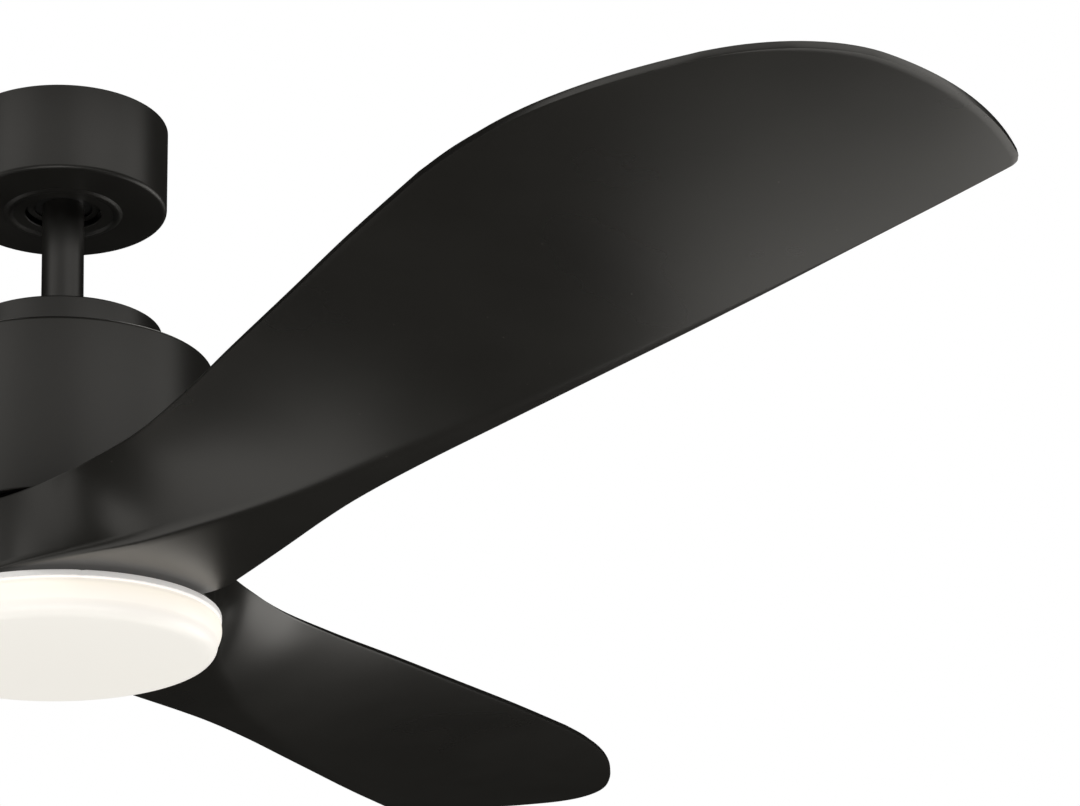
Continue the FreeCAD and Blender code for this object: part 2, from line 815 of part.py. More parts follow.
def bearing(name, top):
    """A ball bearing drawn as its two races and the closed cage between them, turning on the shaft."""
    outer = dim("bearing_radius")
    inner = dim("bearing_bore")
    bottom = top - dim("bearing_width")
    body = new_body(name)
    groove = as_size(0.6)
    race = as_size(2.0)
    points = [(inner, bottom), (inner + race, bottom), (inner + race, bottom + groove),
              (outer - race, bottom + groove), (outer - race, bottom), (outer, bottom), (outer, top),
              (outer - race, top), (outer - race, top - groove), (inner + race, top - groove),
              (inner + race, top), (inner, top)]
    revolve(body, f"{name}_races", points)
    return node(body, name)


def stator_slot(sketch):
    """The gap between two teeth: wide where the coils are, and narrow between the teeth's tips."""
    half_tooth = 4.0
    half_gap = 1.6
    inner = 28.0
    outer = 56.0
    rim = dim("stator_radius").value + 2
    step = math.radians(180.0 / STATOR_TEETH)
    along = Vector(math.cos(step), math.sin(step), 0)
    across = Vector(-along.y, along.x, 0)
    half_inner = inner * math.sin(step) - half_tooth * math.cos(step)
    half_outer = outer * math.sin(step) - half_tooth * math.cos(step)
    profile = ((inner * math.cos(step), half_inner), (outer * math.cos(step), half_outer), (outer, half_gap),
               (rim, half_gap))
    corners = [along * reach - across * half for reach, half in profile]
    corners += [along * reach + across * half for reach, half in reversed(profile)]
    draw_outline(sketch, [(corner.x, corner.y) for corner in corners])


def stator_core():
    """The stack of stator sheets: a ring of T-shaped teeth round the shaft."""
    top = dim("stator_top_z")
    bottom = top - dim("stator_height")
    body = ring_body("stator_core", dim("stator_radius"), dim("shaft_radius"), top, bottom)
    pocket = cut_through(body, "stator_slot", "XY_Plane", stator_slot)
    polar_pattern(body, "stator_slots", pocket, STATOR_TEETH)
    return node(body, "stator_core")


def stator_windings():
    """One coil round each tooth, a little taller than the stack."""
    coils = []
    height = dim("stator_height") + dim("coil_overhang") * 2
    bottom = (dim("stator_top_z") + dim("coil_overhang") - height).value
    start = dim("coil_inner_radius").value
    corner = Vector(start, -dim("coil_width").value / 2, bottom)
    window_bottom = bottom + dim("coil_overhang").value - SCREW_PLAY
    window_corner = Vector(start - 1, -dim("coil_window").value / 2, window_bottom)
    window_height = dim("stator_height") + 2 * SCREW_PLAY
    for index in range(STATOR_TEETH):
        azimuth = 360.0 * index / STATOR_TEETH
        outer = box(f"coil_outer_{index}", dim("coil_length"), dim("coil_width"), height,
                    about_axis(azimuth, Placement(corner, Rotation())))
        window = box(f"coil_window_{index}", dim("coil_length") + 2, dim("coil_window"), window_height,
                     about_axis(azimuth, Placement(window_corner, Rotation())))
        coils.append(cut(f"coil_{index}", outer, window))
    return node(group("stator_windings", coils), "stator_windings")


def rotor_cover():
    """The top half of the turning motor case."""
    body = new_body("rotor_cover")
    top = dim("rotor_top_z")
    wall = dim("rotor_wall")
    bearing_seat = dim("bearing_radius")
    boss = bearing_seat + wall
    boss_top = top + dim("rotor_boss_height")
    points = [(bearing_seat, top - wall), (dim("rotor_radius"), top - wall), (dim("rotor_radius"), top),
              (boss, top), (boss, boss_top), (bearing_seat, boss_top)]
    revolve(body, "cover_disc", points)
    hole = cut_through(body, "cover_vent", "XY_Plane", lambda sketch: draw_circle(sketch, 44.0, 0, 7.0))
    polar_pattern(body, "cover_vents", hole, 6)
    return node(body, "rotor_cover")


def rotor_bell():
    """The turning cup that carries the magnets and, below it, the blades' hub."""
    body = new_body("rotor_bell")
    top = dim("rotor_top_z") - dim("rotor_wall")
    floor = dim("rotor_bottom_z")
    outer = dim("rotor_radius")
    inner = dim("rotor_inner")
    bearing_seat = dim("bearing_radius")
    wall = dim("rotor_wall")
    boss = bearing_seat + wall
    boss_foot = floor - 6
    points = [(bearing_seat, boss_foot), (boss, boss_foot), (boss, floor), (outer, floor), (outer, top),
              (inner, top), (inner, floor + wall), (bearing_seat, floor + wall)]
    revolve(body, "bell_cup", points)
    hole = cut_through(body, "bell_hole", "XY_Plane", hub_bolt_hole)
    polar_pattern(body, "bell_holes", hole, 6)
    return node(body, "rotor_bell")


def hub_bolt_hole(sketch):
    draw_circle(sketch, dim("hub_bolt_radius"), 0, screw_hole_radius("hub"))


def rotor_magnets():
    magnets = []
    sweep = 360.0 / MAGNET_COUNT - 3.0
    height = dim("stator_height")
    bottom = (dim("stator_top_z") - height).value
    for index in range(MAGNET_COUNT):
        place = about_axis(360.0 * index / MAGNET_COUNT, Placement(Vector(0, 0, bottom), Rotation()))
        outer = cylinder(f"magnet_outer_{index}", dim("magnet_outer"), height, place, sweep)
        inner = cylinder(f"magnet_inner_{index}", dim("magnet_inner"), height, place)
        magnets.append(cut(f"magnet_{index}", outer, inner))
    return node(group("rotor_magnets", magnets), "rotor_magnets")


def blade_hub():
    """The drum between the motor and the blades, with a flange at its foot that the blades screw to."""
    body = new_body("blade_hub")
    wall = dim("hub_wall")
    top = dim("rotor_bottom_z")
    plate = top - wall
    foot = dim("blade_floor_z") + dim("root_thick")
    outer = dim("hub_radius")
    inner = outer - wall
    centre = dim("bearing_radius") + dim("rotor_wall") + 0.2
    flange = dim("hub_flange_inner")
    points = [(centre, plate), (inner, plate), (inner, foot + wall), (flange, foot + wall), (flange, foot),
              (outer, foot), (outer, top), (centre, top)]
    revolve(body, "hub_drum", points)
    hole = cut_through(body, "hub_hole", "XY_Plane", hub_bolt_hole)
    polar_pattern(body, "hub_holes", hole, 6)
    for index, angle in enumerate(BLADE_SCREW_ANGLES):
        draw = blade_screw_hole(angle, BLADE_AZIMUTHS[0])
        hole = cut_through(body, f"flange_hole_{index}", "XY_Plane", draw)
        polar_pattern(body, f"flange_holes_{index}", hole, 3)
    return node(body, "blade_hub")


def blade_screw_hole(angle, azimuth):
    def draw(sketch):
        radius = dim("blade_screw_circle") * 0.5
        turned = math.radians(angle + azimuth)
        x = radius * math.cos(turned)
        y = radius * math.sin(turned)
        draw_circle(sketch, x, y, screw_hole_radius("blade"))
    return draw


def hub_screws():
    screws = []
    seat = Vector(dim("hub_bolt_radius").value, 0, (dim("rotor_bottom_z") - dim("hub_wall")).value)
    for index in range(6):
        place = about_axis(60.0 * index, pointing(Vector(0, 0, 1), seat))
        screws.append(screw(f"hub_screw_{index}", "hub", place))
    return node(group("hub_screws", screws), "hub_screws")


# ---- blades --------------------------------------------------------------------------------------------

def station_power(station, power):
    """(distance / reference) to a power, as a size."""
    ratio = DIMENSIONS[f"blade_station_at_{station}"] / DIMENSIONS["blade_reference"]
    text = f"((dims.blade_station_at_{station} / dims.blade_reference) ^ {power})"
    return Size(ratio ** power, text)


def times(first, second):
    return Size(first.value * second.value, f"({first.text} * {second.text})")


def blade_section(body, station):
    """One cross-section: a folded sheet, from the leading edge to the ridge and on to the trailing edge."""
    lead_z = dim("blade_lead_z") - times(dim("blade_lead_drop"), station_power(station, LEAD_POWER))
    floor_z = dim("blade_floor_z") + times(dim("blade_trail_rise"), station_power(station, FLOOR_POWER))
    lead = (dim(f"blade_lead_at_{station}"), lead_z)
    ridge = (dim(f"blade_ridge_at_{station}"), floor_z)
    trail = (dim(f"blade_trail_at_{station}"), floor_z)
    thick = dim("sheet_thick")
    slope = math.atan2(lead_z.value - floor_z.value, ridge[0].value - lead[0].value)
    across = math.sin(slope)
    up = math.cos(slope)
    fold = math.tan(slope / 2)
    upper_lead = (lead[0] + thick * across, lead[1] + thick * up)
    upper_ridge = (ridge[0] + thick * fold, ridge[1] + thick)
    upper_trail = (trail[0], trail[1] + thick)
    sketch = new_sketch(body, f"{body.Name}_section_{station}", "YZ_Plane")
    bind(sketch, "AttachmentOffset.Base.z", dim(f"blade_station_at_{station}"))
    draw_outline(sketch, [lead, ridge, trail, upper_trail, upper_ridge, upper_lead])
    return sketch


def tip_outline(sketch):
    """What is cut away round the tip: a long shoulder in front, a bowed end and a small rear corner."""
    tip = dim("tip_length")
    shoulder = dim(f"blade_station_at_{TIP_STATION}")
    rear = tip - 39.5
    outside = tip + 60
    points = [(shoulder, dim(f"blade_lead_at_{TIP_STATION}")), (tip - 42, -114.0), (tip, -45.0),
              (tip - 30, 73.7), (rear, 79.0), (rear, 150.0), (outside, 150.0), (outside, -190.0),
              (shoulder, -190.0)]
    draw_outline(sketch, points, {0: -230.0, 1: -80.0, 2: -250.0, 3: -9.0})


def blade(name, azimuth):
    """One blade. Its root is a third of a ring under the hub, with a wall round the hub's side. The wall
    twists into the blade's underside, so a ridge runs out from the light and fades into the trailing edge."""
    body = new_body(name)
    sections = [blade_section(body, station) for station in range(len(BLADE_STATIONS))]
    loft = body.newObject("PartDesign::AdditiveLoft", f"{name}_sheet")
    loft.Profile = sections[0]
    loft.Sections = sections[1:]
    loft.Ruled = True
    doc.recompute()
    cut_through(body, f"{name}_hub_clearance", "XY_Plane",
                lambda sketch: draw_circle(sketch, 0, 0, dim("root_wall_inner")))
    cut_through(body, f"{name}_tip", "XY_Plane", tip_outline)
    floor = dim("blade_floor_z")
    top = floor + dim("root_thick")
    outer = dim("root_radius")
    inner = dim("root_inner")
    revolve(body, f"{name}_root_plate", [(inner, floor), (outer, floor), (outer, top), (inner, top)],
            turn=(ROOT_START + ROOT_END) / 2, angle=ROOT_END - ROOT_START)
    wall_top = dim("blade_lead_z")
    wall_inner = dim("root_wall_inner")
    revolve(body, f"{name}_root_wall", [(wall_inner, floor), (outer, floor), (outer, wall_top),
                                        (wall_inner, wall_top)],
            turn=(ROOT_START + ROOT_WALL_END) / 2, angle=ROOT_WALL_END - ROOT_START)
    for index, angle in enumerate(BLADE_SCREW_ANGLES):
        cut_through(body, f"{name}_hole_{index}", "XY_Plane", blade_screw_hole(angle, 0.0))
    body.Placement = Placement(Vector(0, 0, 0), Rotation(Vector(0, 0, 1), azimuth))
    return node(body, name)


def blade_screws():
    screws = []
    seat_z = dim("blade_floor_z").value
    radius = dim("blade_screw_circle").value / 2
    for azimuth in BLADE_AZIMUTHS:
        for angle in BLADE_SCREW_ANGLES:
            place = about_axis(azimuth + angle, pointing(Vector(0, 0, 1), Vector(radius, 0, seat_z)))
            screws.append(screw(f"blade_screw_{len(screws)}", "blade", place))
    return node(group("blade_screws", screws), "blade_screws")


# ---- light ---------------------------------------------------------------------------------------------

def light_pan():
    """The steel pan under the hub. Its skirt has three tabs that hold the lens."""
    body = new_body("light_pan")
    top = dim("pan_top_z")
    thick = dim("pan_thick")
    radius = dim("pan_radius")
    skirt = dim("skirt_bottom_z")
    shaft = dim("shaft_radius")
    points = [(shaft, top - thick), (radius - thick, top - thick), (radius - thick, skirt), (radius, skirt),
              (radius, top), (shaft, top)]
    revolve(body, "pan_dish", points)
    for index, azimuth in enumerate(LUG_AZIMUTHS):
        inside = radius - 0.5
        outside = radius + 5
        tab_top = skirt + thick
        revolve(body, f"pan_tab_{index}", [(inside, skirt), (outside, skirt), (outside, tab_top),
                                           (inside, tab_top)], turn=azimuth, angle=24.0)
    hole = cut_through(body, "pan_hole", "XY_Plane", led_board_hole)
    polar_pattern(body, "pan_holes", hole, 3)
    return node(body, "light_pan")


def lens_ring():
    """The thin trim ring above the lens, with a small notch in its edge."""
    top = dim("ring_top_z")
    bottom = dim("ring_bottom_z")
    body = ring_body("lens_ring", dim("ring_radius"), dim("pan_radius"), top, bottom)
    turned = math.radians(NOTCH_AZIMUTH)
    x = dim("ring_radius").value * math.cos(turned)
    y = dim("ring_radius").value * math.sin(turned)
    cut_through(body, "ring_notch", "XY_Plane", lambda sketch: draw_circle(sketch, x, y, NOTCH_RADIUS))
    return node(body, "lens_ring")


def led_driver():
    body = ring_body("led_driver", dim("driver_radius"), dim("driver_inner"),
                     dim("pan_top_z") + dim("driver_height"), dim("pan_top_z"))
    return node(body, "led_driver")


def led_board_hole(sketch):
    draw_circle(sketch, dim("led_screw_radius"), 0, screw_hole_radius("led_board"))


def led_board():
    top = dim("pan_top_z") - dim("pan_thick")
    body = ring_body("led_board", dim("led_board_radius"), dim("led_board_inner"), top,
                     top - dim("led_board_thick"))
    hole = cut_through(body, "led_board_hole", "XY_Plane", led_board_hole)
    polar_pattern(body, "led_board_holes", hole, 3)
    return node(body, "led_board")


def led_chips():
    chips = []
    side = dim("chip_side")
    height = dim("chip_height")
    bottom = (dim("pan_top_z") - dim("pan_thick") - dim("led_board_thick") - height).value
    for distance, count in LED_RINGS:
        for index in range(count):
            azimuth = 360.0 * (index + 0.5) / count
            corner = Vector(distance - side.value / 2, -side.value / 2, bottom)
            place = about_axis(azimuth, Placement(corner, Rotation()))
            chips.append(box(f"chip_{len(chips)}", side, side, height, place))
    return node(group("led_chips", chips), "led_chips")


def led_board_screws():
    screws = []
    seat_z = (dim("pan_top_z") - dim("pan_thick") - dim("led_board_thick")).value
    seat = Vector(dim("led_screw_radius").value, 0, seat_z)
    for index in range(3):
        place = about_axis(120.0 * index, pointing(Vector(0, 0, 1), seat))
        screws.append(screw(f"led_board_screw_{index}", "led_board", place))
    return node(group("led_board_screws", screws), "led_board_screws")


def shaft_nut():
    """The nut that clamps the light pan to the end of the hollow shaft."""
    body = new_body("shaft_nut")
    top = dim("pan_top_z") - dim("pan_thick")
    sketch = new_sketch(body, "nut_outline", "XY_Plane")
    bind(sketch, "AttachmentOffset.Base.z", top)
    corner = dim("nut_corner_radius").value
    turns = [math.radians(60.0 * index) for index in range(6)]
    draw_outline(sketch, [(corner * math.cos(turn), corner * math.sin(turn)) for turn in turns])
    draw_circle(sketch, 0, 0, dim("shaft_radius"))
    pad = body.newObject("PartDesign::Pad", "nut_pad")
    pad.Profile = sketch
    bind(pad, "Length", dim("nut_height"))
    pad.Reversed = True
    doc.recompute()
    return node(body, "shaft_nut")


def lens():
    """The opal lens: a shallow dish with a rounded shoulder and edge, and three lugs inside its rim."""
    body = new_body("lens")
    top = dim("ring_bottom_z") - 0.4
    wall = dim("lens_wall")
    shoulder = dim("lens_shoulder_radius")
    widest = dim("lens_radius")
    widest_z = top - 4.5
    lower = dim("lens_lower_radius")
    side_z = dim("lens_side_bottom_z")
    bottom = dim("lens_bottom_z")
    edge = dim("lens_edge_radius")
    flat = lower - edge
    crown = bottom - 1.5
    inner_edge = edge - wall
    points = [(0, crown), (flat, bottom), (lower, side_z), (widest, widest_z), (shoulder, top),
              (shoulder - wall, top), (widest - wall, widest_z), (lower - wall, side_z),
              (flat, bottom + wall), (0, crown + wall)]
    revolve(body, "lens_dish", points, {1: -edge, 3: -as_size(6.0), 5: as_size(6.0), 7: inner_edge})
    for index, azimuth in enumerate(LUG_AZIMUTHS):
        inner = dim("pan_radius") + 1
        lug_top = dim("skirt_bottom_z") + 3.8
        outer = widest - 1.2
        revolve(body, f"lens_lug_{index}", [(inner, lug_top - 2), (outer, lug_top - 2), (outer, lug_top),
                                            (inner, lug_top)], turn=azimuth, angle=20.0)
    return node(body, "lens")


# ---- the whole fan -------------------------------------------------------------------------------------

def build():
    ceiling_bracket()
    hanger_yoke()
    canopy()
    canopy_screws()
    receiver()
    hanger_ball()
    ball_cross_pin()
    ball_set_screw()
    downrod()
    coupling()
    coupling_pin()
    cotter_pin()
    coupling_set_screws()
    coupling_bolts()
    coupling_cover()
    motor_housing()
    motor_shaft()
    controller_board()
    bearing("upper_bearing", dim("rotor_top_z") + dim("rotor_boss_height"))
    bearing("lower_bearing", dim("rotor_bottom_z") + 2)
    stator_core()
    stator_windings()
    rotor_cover()
    rotor_bell()
    rotor_magnets()
    blade_hub()
    hub_screws()
    for index, azimuth in enumerate(BLADE_AZIMUTHS, start=1):
        blade(f"blade_{index}", azimuth)
    blade_screws()
    light_pan()
    lens_ring()
    led_driver()
    led_board()
    led_chips()
    led_board_screws()
    shaft_nut()
    lens()


def check_and_export():
    doc.recompute()
    for item in doc.Objects:
        if "Invalid" in item.State or "Error" in item.State:
            raise ValueError(f"{item.Label}: {item.State}")
    os.makedirs("parts", exist_ok=True)
    for item in NODES:
        shape = item.Shape
        if shape.isNull() or not shape.isValid():
            raise ValueError(f"{item.Label} has no valid shape")
        shape.exportStep(f"parts/{item.Label}.step")
        print(f"{item.Label}: {len(shape.Solids)} solids, {shape.Volume / 1000:.1f} cm3")


add_stations_to_dimensions()
make_sheet()
build()
check_and_export()
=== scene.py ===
import json
import math

import bmesh
import bpy
import numpy as np
from mathutils import Matrix, Vector


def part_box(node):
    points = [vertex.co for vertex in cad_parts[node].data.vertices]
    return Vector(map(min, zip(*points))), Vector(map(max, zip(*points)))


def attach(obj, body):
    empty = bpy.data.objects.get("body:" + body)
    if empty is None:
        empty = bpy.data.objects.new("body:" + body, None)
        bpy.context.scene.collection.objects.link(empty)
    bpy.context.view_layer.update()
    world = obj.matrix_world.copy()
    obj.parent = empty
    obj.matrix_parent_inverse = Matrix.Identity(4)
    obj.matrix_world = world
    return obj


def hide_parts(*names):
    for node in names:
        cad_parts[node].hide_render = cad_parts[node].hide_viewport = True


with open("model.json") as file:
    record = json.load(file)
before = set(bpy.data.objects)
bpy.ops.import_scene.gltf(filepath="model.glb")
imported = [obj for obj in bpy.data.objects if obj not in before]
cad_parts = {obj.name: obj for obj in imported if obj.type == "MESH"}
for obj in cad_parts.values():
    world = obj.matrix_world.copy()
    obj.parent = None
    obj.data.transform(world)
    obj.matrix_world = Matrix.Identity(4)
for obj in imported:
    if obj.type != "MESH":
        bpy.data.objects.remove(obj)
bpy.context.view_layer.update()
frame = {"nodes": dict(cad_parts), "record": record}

MM = 0.001
TINY = 1e-7


# ---- places, read from the frame -----------------------------------------------------------------------

def low(node):
    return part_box(node)[0]


def high(node):
    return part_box(node)[1]


def radius_of(node):
    return max(high(node).x, high(node).y, -low(node).x, -low(node).y)


BEAD_DEPTH = 1.4 * MM      # how far the bead round the canopy's opening stands below its underside
CANOPY_BOTTOM = low("canopy").z + BEAD_DEPTH
CANOPY_RADIUS = radius_of("canopy")
ROD_RADIUS = high("downrod").x
ROD_TOP = high("downrod").z
ROD_BOTTOM = low("downrod").z
CAP_TOP = high("coupling_cover").z
CAP_RADIUS = radius_of("coupling_cover")
HOUSING_TOP = high("motor_housing").z
HOUSING_BOTTOM = low("motor_housing").z
HOUSING_RADIUS = radius_of("motor_housing")
BALL_TOP = high("hanger_ball").z
BALL_BOTTOM = low("hanger_ball").z
BALL_RADIUS = high("hanger_ball").x
RING_TOP = high("lens_ring").z
RING_BOTTOM = low("lens_ring").z
RING_RADIUS = radius_of("lens_ring")
LENS_TOP = high("lens").z
LENS_BOTTOM = low("lens").z
LENS_RADIUS = radius_of("lens")


# ---- the blade in plan, in millimetres -----------------------------------------------------------------
# X runs out along the blade and the leading edge is on the -Y side, because the fan turns clockwise.

BLADE_AZIMUTHS = {"blade_1": -60.0, "blade_2": 60.0, "blade_3": 180.0}
BLADE_FLOOR = low("blade_3").z / MM
TIP_LENGTH = -low("blade_3").x / MM
SHEET_THICK = 3.5
RIM_ROUND = 0.8
FOLD_REACH = 5.0           # how far the ridge's round reaches to each side

# The root wraps round the hub: the circles on which the lines start, and the azimuth in degrees at which
# each leaves its circle.
ROOT_RADIUS = 98.0
ROOT_INNER = 64.0
ROOT_START = -88.0
ROOT_END = 31.5
LEAD_LEAVES = -74.0
RIDGE_LEAVES = -56.0
LEAD_KNOTS = [(62.0, -79.5), (86.0, -73.5)]
RIDGE_KNOTS = [(78.0, -72.5)]
ROOT_OUT = 60.0            # distance out at which the root's floor begins to rise

STATIONS = (  # distance out, leading edge, ridge
    (110.0, -69.5, -57.0),
    (145.0, -67.1, -37.5),
    (190.0, -66.2, -21.0),
    (250.0, -73.9, -2.5),
    (330.0, -90.4, 13.0),
    (410.0, -106.9, 27.0),
    (480.0, -122.2, 38.0),
    (560.0, -138.0, 50.5),
)
TRAIL = (  # distance out, trailing edge
    (97.0, 55.0), (110.0, 55.8), (124.0, 54.0), (180.0, 46.2), (240.0, 37.7), (262.0, 35.4),
    (290.0, 34.1), (330.0, 34.3), (410.0, 39.0), (480.0, 45.0), (560.0, 54.0),
)

# The outline beyond the last station, and the radii of its arcs in the same order.
SHOULDER = (615.0, -141.9)
CORNER = (TIP_LENGTH - 42.0, -114.0)
FURTHEST = (TIP_LENGTH, -45.0)
REAR_CORNER = (TIP_LENGTH - 30.0, 73.7)
REAR_START = (TIP_LENGTH - 39.5, 79.0)
SHOULDER_RADIUS = 230.0
CORNER_RADIUS = 80.0
END_RADIUS = 250.0
REAR_RADIUS = 9.0
TIP_FRONT = [(560.0, -138.0), (590.0, -141.2), SHOULDER]
TIP_REAR = [(560.0, 54.0), (597.0, 58.7), (630.0, 63.0), (663.0, 68.0), (693.0, 73.0), REAR_START]
RIDGE_BEYOND = ((560.0, 620.0, 780.0), (50.5, 60.0, 86.0))          # distances out, ridge
LEAD_BEYOND = ((560.0, 615.0, 780.0), (-138.0, -141.9, -141.9))     # distances out, leading edge

# How the edges' heights change with the distance out.
LEAD_HEIGHT = -296.0
LEAD_DROP = 15.3
LEAD_POWER = 2.3
FLOOR_RISE = 31.3
FLOOR_POWER = 3
MEASURED_OUT = 725.0       # the distance at which the drop and the rise are given

ROOT_ROWS = 44
CLOSE_ROWS = (0.83 - 0.004, 0.83, 0.83 + 0.004)   # three more rows, as shares of the root's length
BLADE_ROWS = 52
TIP_ROWS = 44
ACROSS_FACE = np.linspace(0.0, 1.0, 45)[:-1]
ACROSS_LIP = np.linspace(0.0, 1.0, 12)[1:]


def lead_height(x):
    return LEAD_HEIGHT - LEAD_DROP * (x / MEASURED_OUT) ** LEAD_POWER


def floor_height(x):
    return BLADE_FLOOR + FLOOR_RISE * (x / MEASURED_OUT) ** FLOOR_POWER


def tangents_of(points, chords):
    """The direction and pace of a smooth line at each of its points."""
    tangents = [(points[1] - points[0]) / chords[0]]
    for index in range(1, len(points) - 1):
        before = (points[index] - points[index - 1]) / chords[index - 1]
        after = (points[index + 1] - points[index]) / chords[index]
        total = chords[index - 1] + chords[index]
        tangents.append((before * chords[index] + after * chords[index - 1]) / total)
    tangents.append((points[-1] - points[-2]) / chords[-1])
    return tangents


def smooth_line(points, per_span=24):
    """A smooth line through the points: a cubic between each pair, with tangents from their neighbours."""
    points = [np.array(point, float) for point in points]
    chords = [np.linalg.norm(after - before) for before, after in zip(points, points[1:])]
    tangents = tangents_of(points, chords)
    line = []
    for index, span in enumerate(chords):
        for step in range(per_span):
            t = step / per_span
            line.append(points[index] * (2 * t ** 3 - 3 * t ** 2 + 1)
                        + tangents[index] * span * (t ** 3 - 2 * t ** 2 + t)
                        + points[index + 1] * (3 * t ** 2 - 2 * t ** 3)
                        + tangents[index + 1] * span * (t ** 3 - t ** 2))
    line.append(points[-1])
    return np.array(line)


def spread(line, shares):
    """The points at the given shares of the line's length."""
    line = np.array(line, float)
    reach = np.concatenate([[0.0], np.cumsum(np.linalg.norm(np.diff(line, axis=0), axis=1))])
    wanted = np.array(shares) * reach[-1]
    return np.stack([np.interp(wanted, reach, line[:, axis]) for axis in range(line.shape[1])], axis=1)


def circle_line(radius, start, end, count):
    angles = np.radians(np.linspace(start, end, count))
    return np.stack([radius * np.cos(angles), radius * np.sin(angles)], axis=1)


def leaving_circle(degrees):
    """Two points on the root's circle that lead a line off it."""
    return list(circle_line(ROOT_RADIUS, degrees - 4, degrees, 2))


def full_lines():
    """Smooth plan lines of the leading edge, the ridge and the trailing edge, from the root outwards."""
    leads = [(out, lead) for out, lead, ridge in STATIONS]
    ridges = [(out, ridge) for out, lead, ridge in STATIONS]
    trail_start = list(circle_line(ROOT_RADIUS, ROOT_END, ROOT_END, 1))
    lead = smooth_line(leaving_circle(LEAD_LEAVES) + LEAD_KNOTS + leads)
    ridge = smooth_line(leaving_circle(RIDGE_LEAVES) + RIDGE_KNOTS + ridges)
    trail = smooth_line(trail_start + list(TRAIL))
    lead = np.vstack([circle_line(ROOT_RADIUS, ROOT_START, LEAD_LEAVES - 5, 10), lead])
    ridge = np.vstack([circle_line(ROOT_RADIUS, ROOT_START, RIDGE_LEAVES - 5, 20), ridge])
    trail = np.vstack([circle_line(ROOT_INNER, ROOT_START, ROOT_END, 40), trail])
    return lead, ridge, trail


def before_distance(line, distance):
    """The part of a line up to where it first passes the distance for good."""
    last = max(index for index in range(len(line) - 1) if line[index, 0] < distance)
    share = (distance - line[last, 0]) / (line[last + 1, 0] - line[last, 0])
    end = line[last] + (line[last + 1] - line[last]) * share
    return np.vstack([line[:last + 1], end])


def crossing(line, distance):
    """The last point of a line at the distance out along the blade."""
    return before_distance(line, distance)[-1]


def towards(start, end, reach):
    """The point at a reach from start on the way to end."""
    return start + (end - start) / max(np.linalg.norm(end - start), 1e-6) * reach


def section(lead, ridge, trail, lead_z, floor_z):
    """One row of the underside: from the leading edge down to the ridge, round it, and to the rear."""
    lead = np.array([lead[0], lead[1], lead_z])
    ridge = np.array([ridge[0], ridge[1], floor_z])
    trail = np.array([trail[0], trail[1], floor_z])
    front_width = np.linalg.norm(lead - ridge)
    rear_width = max(np.linalg.norm(trail - ridge), 1e-6)
    reach = min(FOLD_REACH, 0.4 * front_width, 0.4 * rear_width)
    enter = towards(ridge, lead, reach)
    leave = towards(ridge, trail, reach)
    row = [lead + (enter - lead) * share for share in ACROSS_FACE]
    for share in (0.0, 0.25, 0.5, 0.75, 1.0):
        row.append(enter * (1 - share) ** 2 + ridge * 2 * share * (1 - share) + leave * share ** 2)
    row += [leave + (trail - leave) * share for share in ACROSS_LIP]
    return np.array(row)


def tip_height(x, y):
    """The underside's height beyond the last station: flat behind the ridge, rising to the leading edge."""
    ridge_y = np.interp(x, *RIDGE_BEYOND)
    lead_y = np.interp(x, *LEAD_BEYOND)
    share = np.clip((ridge_y - y) / (ridge_y - lead_y), 0.0, 1.0)
    return floor_height(x) + (lead_height(x) - floor_height(x)) * share


def arc_line(start, end, radius, count):
    """An arc from start to end that bows out to the right of the line between them."""
    start = np.array(start, float)
    end = np.array(end, float)
    chord = end - start
    half = np.linalg.norm(chord) / 2
    inward = np.array([-chord[1], chord[0]]) / (2 * half)
    centre = (start + end) / 2 + inward * math.sqrt(radius ** 2 - half ** 2)
    first = math.atan2(*(start - centre)[::-1])
    sweep = 2 * math.asin(half / radius)
    angles = first + sweep * np.linspace(0.0, 1.0, count)
    return centre + radius * np.stack([np.cos(angles), np.sin(angles)], axis=1)


def tip_lines():
    """The blade's outline beyond the last station: front, end and rear, as plan lines."""
    front = np.vstack([smooth_line(TIP_FRONT)[:-1], arc_line(SHOULDER, CORNER, SHOULDER_RADIUS, 30)])
    end = np.vstack([arc_line(CORNER, FURTHEST, CORNER_RADIUS, 40)[:-1],
                     arc_line(FURTHEST, REAR_CORNER, END_RADIUS, 40)[:-1],
                     arc_line(REAR_CORNER, REAR_START, REAR_RADIUS, 20)])
    return front, end, smooth_line(TIP_REAR)


def tip_rows(start):
    """Rows from the last station's row to the end, each bowed towards the end's own shape."""
    front, end, rear = tip_lines()
    shares = np.linspace(0.0, 1.0, TIP_ROWS + 1)
    front = spread(front, shares)
    rear = spread(rear, shares)
    lengths = np.concatenate([[0.0], np.cumsum(np.linalg.norm(np.diff(start, axis=0), axis=1))])
    across = lengths / lengths[-1]
    end = spread(end, across)
    result = []
    for index in range(1, TIP_ROWS + 1):
        u = shares[index]
        row = []
        for column, v in enumerate(across):
            sides = front[index] * (1 - v) + rear[index] * v
            ends = start[column] * (1 - u) + end[column] * u
            corners = ((front[0] * (1 - u) + front[-1] * u) * (1 - v)
                       + (rear[0] * (1 - u) + rear[-1] * u) * v)
            x, y = sides + ends - corners
            row.append((x, y, tip_height(x, y)))
        result.append(np.array(row))
    return result


